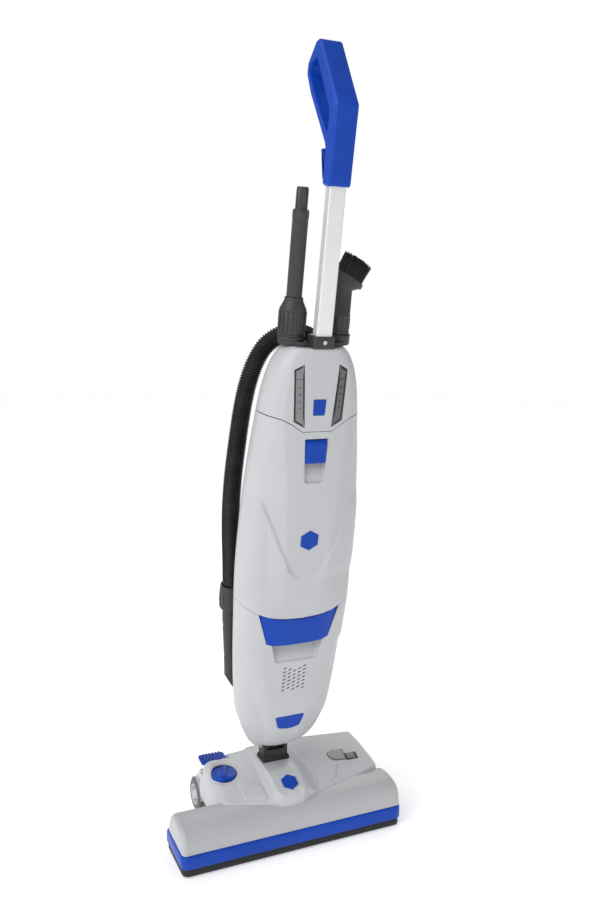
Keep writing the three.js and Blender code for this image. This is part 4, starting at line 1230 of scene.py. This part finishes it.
def make_cover():
    rows = cover_rows()
    rows = end_wall(rows[0], COVER_X[0]) + rows + list(reversed(end_wall(rows[-1], COVER_X[1])))
    cover = new_object("cover_moulding", rows_mesh(rows, False), LOOK["cover"], BASE, 38, closed=False)
    outwards(cover, BASE @ Vector((30, 60, 60)))
    thickened(cover, 2.6, 0.4)
    neck = block((-24.8, 24.8), (PIVOT_Y - 14.8, PIVOT_Y + 14.8), (60, 150), 2.0)
    well = moved(lathe([(0, 60), (24.3, 60), (24.3, 150), (0, 150)], 64), shift(KNOB["x"], KNOB["y"], 0))
    for tool in (neck, well):
        cut(cover, tool, BASE)
    settle(cover, "base", ["top_cover"])
    floor = KNOB["base"] - 0.6
    well = moved(lathe([(0, 96), (24.6, 96), (24.6, floor), (0, floor)], 48), shift(KNOB["x"], KNOB["y"], 0))
    make("knob_well", well, "dark", "base")


def make_fender():
    """The arch over the left wheel, a curved skin inside the machine's rear line."""
    rows = []
    for x, pull in ((-125.5, 1.6), (-126.4, 0.8), (-126.8, 0), (-112, 0), (-104, 0)):
        arch = []
        for k in range(33):
            angle = math.radians(28 + 152 * k / 32)
            r = WHEEL["r"] + 3.0 - pull
            arch.append((x, WHEEL["y"] + r * math.cos(angle), WHEEL["r"] + r * math.sin(angle)))
        rows.append(arch)
    fender = new_object("wheel_arch", rows_mesh(rows, False), LOOK["cover"], BASE, 38, closed=False)
    outwards(fender, BASE @ Vector((-115, WHEEL["y"], WHEEL["r"])))
    thickened(fender, 1.6, 0.4)
    settle(fender, "base", [])
    web = upright([(130, 60), (130, 88), (152, 88), (178, 62), (172, 58), (150, 66)], -122, -106, 1.5)
    make("arch_web", web, "cover", "base")


# ---- base: controls, badge and window -----------------------------------------------------------
def on_cover(p):
    return Vector((p.x, p.y, cover_z(p.x, p.y) + p.z))


def make_knob():
    place = shift(KNOB["x"], KNOB["y"], KNOB["base"])
    rim = [Vector((p.x, max(p.y, -20.0))) for p in circle(KNOB["r"], 96)]
    dial = pad(rim, 0.0, 9.0, 1.4, 0.5, rings=3)
    grip = rounded([(-4.2, -18.5), (4.2, -18.5), (3.4, 18.5), (-3.4, 18.5)], 3.2)
    parts = [dial, moved(pad(grip, 8.0, 12.8, 1.4, rings=1), turn(-24, "Z"))]
    for side in (-1, 1):
        for k in range(3):
            angle = math.radians(90 + side * (52 + 26 * k))
            x, y = 15.5 * math.cos(angle), 15.5 * math.sin(angle)
            parts.append(pad(circle(1.5, 16, x, y), 8.5, 9.7, 0.4, rings=0))
    for k in range(36):
        angle = 2 * math.pi * k / 36
        if math.sin(angle) > -0.8:
            rib = block((-0.6, 0.6), (22.2, 23.0), (1.2, 7.2), 0.25)
            parts.append(moved(rib, turn(math.degrees(angle) - 90, "Z")))
    make("knob_dial", moved(joined(*parts), place), "blue", "knob", ["height_knob"])


def make_pedal():
    """A rounded plate with slanted grip ribs on an arm that turns on the pedal pin."""
    x, y, top = PEDAL["x"], PEDAL["y"], PEDAL["z"]
    plate = rounded([(x[0], y[0] + 3), (x[1], y[0]), (x[1], y[1] - 3), (x[0] + 2, y[1])], [5, 4, 6, 6])
    parts = [pad(densified(plate, 3), top - 6, top - 1.2, 1.6, 1.2, rings=3)]
    low, high = y[0] + 4.2, y[1] - 4.2
    slant, pitch, wide = 12.0, 6.3, 2.9
    for k in range(-1, 6):
        start = x[0] + 4.5 + k * pitch
        cut_low = max(0.0, (x[0] + 4.5 - start) / slant)
        cut_high = min(1.0, (x[1] - 4.5 - wide - start) / slant)
        y0, y1 = low + (high - low) * cut_low, low + (high - low) * cut_high
        x0, x1 = start + slant * cut_low, start + slant * cut_high
        ends = [(x0, y0), (x0 + wide, y0), (x1 + wide, y1), (x1, y1)]
        parts.append(pad(densified(rounded(ends, 1.0, 3), 3), top - 2.2, top + 1.9, 0.9, rings=0))
    parts.append(block((-110, -96), (y[0] + 0.6, y[0] + 17), (97, top - 5), 1.0))
    eye = [(y[0] + 7 + 6 * p.x, 98 + 6 * p.y) for p in circle(1, 28)]
    parts.append(upright(eye, -110, -96, 0.8))
    make("pedal_pad", joined(*parts), "blue", "pedal", ["release_pedal"])


def make_base_badge():
    outline = densified(rounded(hexagon(16), 0.8, 3), 2.0)
    plate = moved(pad(outline, -3.0, 1.6, 0.7, rings=3, crown=0.1), shift(0, -5.0, 115.0) @ turn(23, "X"))
    make("badge_plate", plate, "blue", "base", ["base_badge"])


def make_status_window():
    corners = [(112, 62), (114, 78), (128, 84), (152, 86), (149, 56), (124, 55)]
    outline = densified(rounded(corners, [9, 9, 10, 1.5, 1.5, 10]), 2.5)
    recess = warped(pad(outline, -1.2, 0.25, 0.3, rings=5), on_cover)
    make("window_bezel", recess, "dark", "base")
    lens = warped(pad(inset(outline, 1.2), -0.6, 0.75, 0.5, rings=5), on_cover)
    make("status_lens", lens, "lens", "base", ["status_window"])
    slot = densified(rounded([(147, 54), (172, 52), (174, 71), (149, 73)], 1.5), 2.5)
    well = warped(pad(slot, -1.0, 0.22, 0.3, rings=3), on_cover)
    make("latch_well", well, "dark", "base")
    cap = densified(rounded([(150, 56), (167, 55), (168, 68), (151, 69)], 1.4), 2.0)

    def laid(p):
        rise = 0.30 * (p.y - 62) - 0.07 * (p.x - 159)
        return Vector((p.x, p.y, cover_form(159, 62) + rise + 1.5 + p.z))

    parts = [warped(pad(cap, -1.2, 0.9, 0.6, rings=2), laid)]
    for k in range(3):
        x = 156 + 3 * k
        bar = rounded([(x, 58), (x + 1.2, 58), (x + 1.2, 66), (x, 66)], 0.5, 3)
        parts.append(warped(pad(bar, 0.5, 1.4, 0.3, rings=0), laid))
    make("latch_cap", joined(*parts), "lens", "service_latch", ["service_latch"])


# ---- neck ---------------------------------------------------------------------------------------
def make_neck():
    y = PIVOT_Y
    parts = [block((-24, 24), (y - 14, y + 14), (84, 134), 1.6)]
    for side in (-1, 1):
        half_turn = [math.pi * k / 20 for k in range(21)]
        ear = [(y + 13 * math.cos(a), PIVOT_Z + 13 * math.sin(a)) for a in half_turn]
        ear += [(y - 13, 132), (y + 13, 132)]
        parts.append(upright(ear, side * 20 - 4, side * 20 + 4, 0.8))
        parts.append(block((side * 16 - 5, side * 16 + 5), (y - 14.6, y - 13), (134 - 40, 130), 0.4))
    parts.append(block((-8.5, 8.5), (y - 15.4, y - 13), (96, 132.5), 0.5))
    parts.append(block((-19, 19), (y - 14.4, y - 13.2), (100, 148), 0.5))
    parts.append(block((-11, 11), (y - 15.2, y - 13.6), (131, 146), 0.5))
    make("neck_bracket", joined(*parts), "black", "base", ["neck_yoke"])
    rows = []
    gaiter = ((124.5, 1.2), (125.2, 2.6), (127, 3.4), (129.5, 3.2), (132.6, 1.6), (133, 0.9), (132.2, 0.45))
    for z, grow in gaiter:
        outline = rounded([(-24 - grow, y - 14 - grow), (24 + grow, y - 14 - grow),
                           (24 + grow, y + 14 + grow), (-24 - grow, y + 14 + grow)], 3)
        rows.append([(p.x, p.y, z) for p in outline])
    rows.append([(p[0], p[1], 125.0) for p in rows[-1]])
    rows.append(rows[0])
    points, faces = rows_mesh(rows, True, False)
    make("neck_gaiter", (points, faces), "rubber", "base", ["neck_collar"], sharp=50)
    v, u = -PIVOT["v"], PIVOT["u"]
    lower_turn = [math.pi * (1 + k / 20) for k in range(21)]
    tongue = [(v + 11.5 * math.cos(a), u + 11.5 * math.sin(a)) for a in lower_turn]
    tongue += [(v + 11, 60), (v - 11, 60)]
    parts = [upright(tongue, -15.6, 15.6, 0.8), block((-24, 24), (v - 12, v + 10), (46, 64), 1.0)]
    make("neck_link", joined(*parts), "black", "body", ["neck_tongue"])


# ---- wheels, rollers and brush ------------------------------------------------------------------
def make_wheels():
    half = WHEEL["width"] / 2
    edge = [(20.3, -half + 0.6), (26.4, -half), (28.6, -half + 1.4), (29.7, -half + 3.6)]
    tread = [(30 if k % 2 else 29.3, -5.4 + k * 1.2) for k in range(10)]
    tyre = edge + tread + [(r, -z) for r, z in reversed(edge)]
    outer = [(20, half - 1), (19.4, half - 0.2), (17.6, half), (16.8, half - 0.8), (16.2, half - 3.4),
             (9.8, half - 4.2), (9.2, half - 1.4), (8.4, half - 0.4), (6.2, half - 0.2),
             (5.4, half - 1.6), (0, half - 1.8)]
    hub = [(r, -z) for r, z in reversed(outer)] + outer
    for side in ("left", "right"):
        place = shift(WHEEL[side], WHEEL["y"], WHEEL["r"]) @ turn(90, "Y")
        body = f"wheel_{side}"
        make(f"tyre_piece_{side}", moved(lathe(tyre + [tyre[0]], 72), place), "tyre", body,
             [f"tyre_{side}"], sharp=45)
        spokes = []
        for k in range(6):
            for z in (half - 4.4, -half + 2.6):
                spokes.append(moved(block((9, 16.6), (-1.2, 1.2), (z, z + 1.8), 0.4), turn(60 * k, "Z")))
        solid = joined(lathe([(r, z) for r, z in hub], 64), *spokes)
        make(f"hub_piece_{side}", moved(solid, place), "shell", body, [f"wheel_hub_{side}"], sharp=45)
        ring = [(9.9, -half + 4.0), (16.1, -half + 3.2), (16.1, -half + 3.0), (9.9, -half + 3.8)]
        make(f"hub_ring_{side}", moved(lathe(ring + [ring[0]], 48), place), "dark", body, sharp=45)
        roll = ROLLER["width"] / 2
        profile = [(0, -roll + 0.6), (3, -roll + 0.6), (3.4, -roll), (7.2, -roll), (8, -roll + 0.8),
                   (8, -1), (7.5, -0.6), (7.5, 0.6), (8, 1), (8, roll - 0.8), (7.2, roll), (3.4, roll),
                   (3, roll - 0.6), (0, roll - 0.6)]
        x = ROLLER["x"] * (-1 if side == "left" else 1)
        place = shift(x, ROLLER["y"], ROLLER["r"]) @ turn(90, "Y")
        make(f"roller_piece_{side}", moved(lathe(profile, 40), place), "dark", f"roller_{side}",
             [f"front_roller_{side}"], sharp=45)


def make_brush():
    """A core with four helical rows of bristle tufts, its shaft and its belt pulley."""
    half, core = BRUSH["half"], BRUSH["core"]
    px = BRUSH["pulley_x"]
    shaft = [(0, -half - 2), (3.6, -half - 2), (4, -half - 1.4), (4, -half + 14)]
    drum = [(core - 1, -half + 14), (core, -half + 15), (core, half - 23), (core - 1, half - 22)]
    pulley = [(4, half - 22), (4, px - 1), (9, px - 1), (9, px + 0.4), (8, px + 1), (8, px + 7),
              (9, px + 7.6), (9, px + 9), (4, px + 9)]
    profile = shaft + drum + pulley + [(4, half + 1.4), (3.6, half + 2), (0, half + 2)]
    place = shift(0, BRUSH["y"], BRUSH["z"]) @ turn(90, "Y")
    make("brush_core", moved(lathe(profile, 40), place), "dark", "brush_roll", ["brush_roll"], sharp=45)
    tufts = []
    chance = random.Random(7)
    for row in range(4):
        for k in range(50):
            z = -half + 19 + k * 6.5
            angle = 90 * row + 110 * (k / 50 - 0.5)
            for _ in range(7):
                lean, spread = chance.uniform(-5, 5), chance.uniform(-1.6, 1.6)
                root = [Vector((0.42 * p.x + lean * 0.16, 0.42 * p.y + spread)) for p in circle(1, 5)]
                tip_r = BRUSH["tip"] - chance.uniform(0.05, 1.4)
                low = [(core - 0.6, p.x, p.y) for p in root]
                high = [(tip_r, p.x * 0.5 + lean * 0.3, p.y * 1.5) for p in root]
                hair = rows_mesh([low, high])
                tufts.append(moved(hair, shift(0, 0, z) @ turn(angle + lean, "Z")))
    make("brush_tufts", moved(joined(*tufts), place), "bristle", "brush_roll", sharp=60)


def finish_node(name, look):
    """A CAD piece that keeps its own shape takes a worked material."""
    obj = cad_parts[name]
    obj.data.materials.clear()
    obj.data.materials.append(LOOK[look])


make_bumper()
make_hood()
make_cover()
make_fender()
make_knob()
make_pedal()
make_base_badge()
make_status_window()
make_neck()
make_wheels()
make_brush()
for part_name, look_name, slot_name in (
    ("base_chassis", "dark", "black_plastic"), ("pedal_pin", "steel", "steel"),
    ("rear_axle", "steel", "steel"), ("pivot_pin", "steel", "steel"),
    ("brush_carriage", "dark", "dark_plastic"), ("brush_motor", "steel", "steel"),
    ("motor_pulley", "alloy", "motor_alloy"), ("drive_belt", "rubber", "black_rubber"),
    ("suction_motor", "alloy", "motor_alloy"), ("suction_fan", "black", "black_plastic"),
    ("exhaust_filter", "paper", "fleece"), ("battery_pack", "case", "battery_case"),
    ("control_board", "board", "circuit_board"),
):
    finish_node(part_name, look_name)


# ---- hose duct and elbow ------------------------------------------------------------------------
def make_duct():
    """The duct that carries the hose's air down the body's side to its slanted mouth."""
    route = [(-76, 118), (-81, 190), (-86.5, 250), (-90.5, 292), (-90.5, 305.4)]
    path = spline([(x, -DUCT["v"], u) for x, u in route], 40)

    def radius(k):
        return DUCT["r"] - (0.8 if k % 13 == 6 else 0)

    duct = new_object("duct_pipe", tube(path, radius, 40), LOOK["dark"], BODY)
    slant = moved(block((-90, 90), (-60, 60), (-120, 0), 1.0), shift(-80, 60, 146) @ turn(58, "Y"))
    cut(duct, slant, BODY)
    settle(duct, "body", ["hose_duct"])
    for k, u in enumerate((170, 262)):
        x = flowing([(b, a) for a, b in route], u)
        clip = block((x - 4, x + 22), (48, 60), (u - 5, u + 5), 1.6)
        make(f"duct_clip_{k}", clip, "dark", "body")
    place = shift(47, 65, 0)
    profile = [(0, 706), (15, 706), (17.4, 706.6), (19, 708.4), (19, 716), (18.2, 716.6), (18.2, 718),
               (19, 718.6), (19, 730), (18.4, 731.6), (16.2, 732), (15.6, 731.2), (15.4, 727), (0, 727)]
    neck = block((31, 63), (40, 66), (704.4, 727.6), 3.0)
    make("inlet_elbow", joined(moved(lathe(profile, 56), place), neck), "dark", "body", ["hose_elbow"])


# ---- handle -------------------------------------------------------------------------------------
def make_tube():
    half = TUBE["half"]
    front, back = -TUBE["front"], -TUBE["back"]
    corners = [(-half, front), (half, front), (half, back), (-half, back)]
    outline = densified(rounded(corners, 3.0, 6), 2.0)
    flutes = []
    for p in outline:
        flat = p.y < front + 0.2 or p.y > back - 0.2
        groove = 0.45 * max(0.0, 1 - abs(abs(p.x) - 9.4) / 0.8) if flat else 0
        flutes.append(Vector((p.x, p.y + (groove if p.y < front + 2 else -groove))))
    part = pad(flutes, TUBE["low"], TUBE["high"], 0.8, 0.8, rings=1)
    make("stick_tube", part, "tube", "body", ["handle_tube"], sharp=30)


GRIP_OUTER = [
    (41, 1040), (42, 1100), (43.5, 1155), (5, 1200), (-32, 1244), (-44, 1245), (-70, 1215), (-72, 1197),
    (-52, 1168), (-14, 1128), (14, 1098), (17, 1090), (17.5, 1040),
]
GRIP_INNER = [
    (-41, 1221), (-62, 1211), (-64.5, 1199), (-45, 1174), (-6, 1135), (16, 1113), (20, 1122), (21, 1144),
]
HOOK = [(18, 1040), (10, 1042), (3, 1052), (-9, 1092), (-4, 1093), (8, 1055), (18, 1051)]


def make_grip():
    """The closed blue loop with softened edges, and the small hook behind its stem."""
    radii = [5, 40, 7, 90, 8, 8, 12, 14, 40, 60, 10, 10, 5]
    outer = evened([(-v, u) for v, u in GRIP_OUTER], radii, 2.6)
    solid = pad(outer, -19, 19, 3.6, 3.6, rings=0, steps=5)
    grip = new_object("grip_loop", warped(solid, lambda p: Vector((p.z, p.x, p.y))), LOOK["blue"], BODY)
    hole = evened([(-v, u) for v, u in GRIP_INNER], [9, 9, 8, 30, 60, 7, 8, 30], 2.6)
    rows = []
    levels = [(24, 3.0), (19, 3.0), (18.1, 1.6), (17, 0.75), (15.4, 0.15), (14, 0)]
    for x, grow in [(-x, g) for x, g in levels] + [(x, g) for x, g in reversed(levels)]:
        rows.append([(x, p.x, p.y) for p in inset(hole, -grow)])
    cut(grip, rows_mesh(rows), BODY, 30)
    settle(grip, "body", ["handle_grip"])
    hook = densified(rounded([(-v, u) for v, u in HOOK], [2, 3, 4, 1.5, 1.5, 3, 2]), 2.5)
    solid = pad(hook, -13, 13, 1.6, 1.6, rings=0)
    make("grip_hook", warped(solid, lambda p: Vector((p.z, p.x, p.y))), "blue", "body")


# ---- tool holder, wand and duster ---------------------------------------------------------------
def fluting(outline, radius, low, high, edge, count, first=0.0):
    """Upright ribs spaced evenly round the Z axis."""
    rib = pad(densified(rounded(outline, radius, 3), 2), low, high, edge, edge, rings=0)
    return [moved(rib, turn(360 / count * k + first, "Z")) for k in range(count)]


def cup(radius, bore, low, floor, high):
    profile = [(0, low), (radius - 1.4, low), (radius - 0.3, low + 1), (radius, low + 2.4),
               (radius, high - 3.4), (radius + 0.5, high - 2.8), (radius + 0.5, high - 1),
               (radius - 0.2, high), (bore + 0.8, high), (bore, high - 0.8), (bore, floor), (0, floor)]
    return lathe(profile, 60)


def make_holder():
    """Two cups on one plate, clamped round the foot of the handle tube."""
    corners = [(-56, -8), (-30, -24), (32, -24), (60, -8), (58, 12), (-54, 12)]
    outline = rounded(corners, [10, 12, 12, 10, 12, 12])
    plate = pad(densified(outline, 4), 797.6, 804.5, 1.6, 0.8, rings=4)
    parts = [moved(cup(21.4, 18, 797.6, 800, 810.8), shift(WAND["x"], -WAND["v"], 0)),
             moved(cup(20, 16.3, 797.6, 800, 814.6), shift(DUSTER["x"], -DUSTER["v"], 0)), plate]
    low, high = 797.6, 817.0
    front, back = -TUBE["front"] - 3.8, -TUBE["back"] + 8
    wrap = rounded([(-18, back), (-18, front), (18, front), (18, back)], [2, 5, 5, 2])
    parts.append(pad(densified(wrap, 3), low, high, 1.4, 0.8, rings=3))
    for side in (-1, 1):
        gusset = [(-6, 804), (8, 804), (4, 812), (-12, 815), (-14, 804)]
        parts.append(moved(upright(gusset, side * 15 - 1.4, side * 15 + 1.4, 0.5), shift(0, -6, 0)))
    screw = lathe([(0, 0), (3.4, 0), (3.4, 1.0), (2.8, 1.5), (0, 1.2)], 28)
    screw = moved(screw, shift(0, front, 808) @ turn(90, "X"))
    make("holder_body", joined(*parts), "dark", "body", ["tool_holder"])
    make("holder_screw", screw, "steel", "body")


def make_wand():
    place = shift(WAND["x"], -WAND["v"], 0)
    profile = [(0, 801), (16.6, 801), (17.5, 802), (17.5, 811.4), (21.2, 811.4), (21.8, 812.2),
               (21.8, 813.8), (20.8, 814.6), (20.8, 850), (21.6, 851), (21.6, 853), (20.8, 854),
               (14.6, 867), (13.8, 868), (12.9, 868), (12.9, 851), (0, 851)]
    ribs = fluting([(20.2, -1.7), (22.4, -1.3), (22.4, 1.3), (20.2, 1.7)], 0.7, 815, 850, 1.0, 16)
    ring = lathe([(12.9, 866), (14.4, 866), (14.9, 867), (14.9, 870), (14.3, 871), (12.9, 871),
                  (12.9, 866)], 48)
    make("wand_grip_sleeve", moved(joined(lathe(profile, 64), ring, *ribs), place), "dark", "wand",
         ["wand_sleeve"])
    profile = [(10, 852), (12, 852), (12.4, 853), (12.4, 990), (12.9, 991.2), (12.9, 999.6),
               (12.2, 1000.4), (12.2, 1001), (12.6, 1001.6), (12.2, 1003), (10.6, 1003), (10, 1002.2),
               (10, 852)]
    make("wand_lower_tube", moved(lathe(profile, 56), place), "dark", "wand", ["wand_tube"])
    profile = [(7.6, 866), (9.2, 866), (9.6, 867), (9.6, 1003), (9.4, 1008), (8.9, 1032), (8.6, 1036),
               (7.4, 1036), (6.8, 1035), (7.6, 866)]
    flats = fluting([(8.0, -2.2), (9.3, -1.9), (9.3, 1.9), (8.0, 2.2)], 0.5, 1006, 1033, 0.8, 6, 30)
    make("wand_nozzle", moved(joined(lathe(profile, 48), *flats), place), "dark", "wand_tip", ["wand_tip"])


def duster_head():
    """Places a piece drawn around the tilted brush head's middle."""
    tilt = Matrix.Rotation(DUSTER["tilt"], 4, "Y")
    return shift(DUSTER["x"] + 6, -DUSTER["v"], DUSTER["head"]) @ tilt


def make_duster():
    place = shift(DUSTER["x"], -DUSTER["v"], 0)
    profile = [(0, 801), (14.8, 801), (15.8, 802), (15.8, 815.2), (17.4, 815.4), (18, 816.2), (18, 819),
               (17.4, 820), (17.3, 822), (17.0, 842), (17.6, 843), (17.6, 845), (17.0, 846), (16.6, 884),
               (16.4, 896), (0, 896)]
    ribs = fluting([(16.2, -1.3), (18.0, -1.0), (18.0, 1.0), (16.2, 1.3)], 0.5, 822, 841, 0.8, 12)
    stem = moved(joined(lathe(profile, 56), *ribs), place)
    head = duster_head()
    rows = []
    for share in (0, 0.2, 0.4, 0.6, 0.8, 1):
        ring = circle(1, 56)
        low = [place @ Vector((16.4 * p.x, 16.4 * p.y, 884)) for p in ring]
        high = [head @ Vector((28 * p.x, 16.4 * p.y, 2.0)) for p in ring]
        bend = share * share * (3 - 2 * share)
        rows.append([a.lerp(b, bend) for a, b in zip(low, high)])
    bridge = rows_mesh(rows)
    shoulder = [(0.0, 0), (0.93, 0), (0.99, 1.0), (1.0, 2.4), (1.0, 7.0), (0.985, 8.3), (0.95, 9.0),
                (0.0, 9.0)]
    oval = moved(warped(lathe(shoulder, 72), lambda p: Vector((29 * p.x, 17 * p.y, p.z))), head)
    make("duster_stem", joined(stem, bridge, oval), "dark", "duster", ["duster_body"])
    hairs = []
    chance = random.Random(11)
    for ring in range(7):
        share = (ring + 0.4) / 7
        count = 6 + ring * 14
        for k in range(count):
            angle = 2 * math.pi * (k + chance.random() * 0.8) / count
            reach = share + chance.uniform(-0.05, 0.05)
            x, y = 26.0 * reach * math.cos(angle), 14 * reach * math.sin(angle)
            tall = 32.8 - 2.4 * reach * reach + chance.uniform(-1.6, 0.4)
            bend_x, bend_y = 0.05 * x + chance.uniform(-1.1, 1.1), 0.05 * y + chance.uniform(-1.1, 1.1)
            rows = []
            for step, thick in ((0, 1.05), (0.5, 0.85), (1, 0.3)):
                sway = step * step
                middle = Vector((x + bend_x * sway, y + bend_y * sway, 8.6 + tall * step))
                rows.append([middle + Vector((p.x * thick, p.y * thick, 0)) for p in circle(1, 5)])
            hairs.append(rows_mesh(rows))
    make("duster_hair", moved(joined(*hairs), head), "bristle", "duster", ["duster_bristles"], sharp=70)


# ---- dust bag -----------------------------------------------------------------------------------
# The bag at six heights: u, half width, depth to the front and depth to the rear.
BAG = [
    (350, 40, 12, 18), (372, 70, 22, 32), (430, 84, 30, 38), (510, 84, 30, 38), (555, 74, 24, 34),
    (585, 42, 12, 20),
]


def bag_form():
    """The filled bag's smooth form: height u with half width, front depth and rear depth."""
    rows = []
    for k in range(61):
        u = 351 + 233 * k / 60
        end = math.sqrt(max(0.02, 1 - (2 * (u - 467.5) / 234) ** 10))
        half, front, rear = [flowing(BAG, u, column) * end * 0.97 for column in (1, 2, 3)]
        ring = []
        for p in circle(1, 96):
            depth = front if p.y > 0 else rear
            ring.append((half * math.copysign(abs(p.x) ** 0.9, p.x), -depth * p.y * abs(p.y) ** 0.15, u))
        rows.append(ring)
    return rows_mesh(rows)


def puffed(obj):
    """Cloth simulation: a little air swells the fleece and wrinkles it where its seams hold."""
    held = obj.vertex_groups.new(name="held")
    local = BODY.inverted()
    for vertex in obj.data.vertices:
        p = local @ vertex.co
        ends = fade(p.z, 358, 350) + fade(p.z, 578, 586)
        seam = fade(abs(p.y - 3), 3, 0.5) * fade(abs(p.x), 30, 44)
        held.add([vertex.index], clamp(ends + 0.7 * seam), "REPLACE")
    cloth = obj.modifiers.new("cloth", "CLOTH")
    made = cloth.settings
    made.quality = 5
    made.mass = 0.2
    made.effector_weights.gravity = 0
    made.use_pressure = True
    made.uniform_pressure_force = 1.2
    made.tension_stiffness = 12
    made.compression_stiffness = 4
    made.bending_stiffness = 0.3
    made.vertex_group_mass = "held"
    made.use_sewing_springs = False
    made.shrink_min = -0.035
    cloth.collision_settings.use_collision = False
    cloth.point_cache.frame_end = 14
    for step in range(1, 15):
        bpy.context.scene.frame_set(step)
    baked(obj, 80)
    bpy.context.scene.frame_set(1)


def kept_inside(obj):
    """Holds the swollen fleece within the space that the bag has."""
    local = BODY.inverted()
    for vertex in obj.data.vertices:
        p = local @ vertex.co
        u = clamp(p.z, 351, 584)
        half, front, rear = [flowing(BAG, u, column) + 1.5 for column in (1, 2, 3)]
        depth = front if p.y < 0 else rear
        reach = math.hypot(p.x / half, p.y / depth)
        if reach > 1:
            p.x, p.y = p.x / reach, p.y / reach
        vertex.co = BODY @ Vector((p.x, p.y, clamp(p.z, 350.2, 584.8)))
    obj.data.update()


def make_bag():
    bag = new_object("filter_bag_fleece", bag_form(), LOOK["fleece"], BODY, 80)
    puffed(bag)
    kept_inside(bag)
    settle(bag, "body", ["dust_bag"])
    seam = []
    for side in (-1, 1):
        path = [Vector((side * (flowing(BAG, u) * 0.985 + 0.8), 3, u)) for u in range(366, 572, 6)]
        seam.append(tube(path, 1.3, 8))
    make("bag_edge_seam", joined(*seam), "fleece", "body", sharp=70)


make_duct()
make_tube()
make_grip()
make_holder()
make_wand()
make_duster()
make_bag()
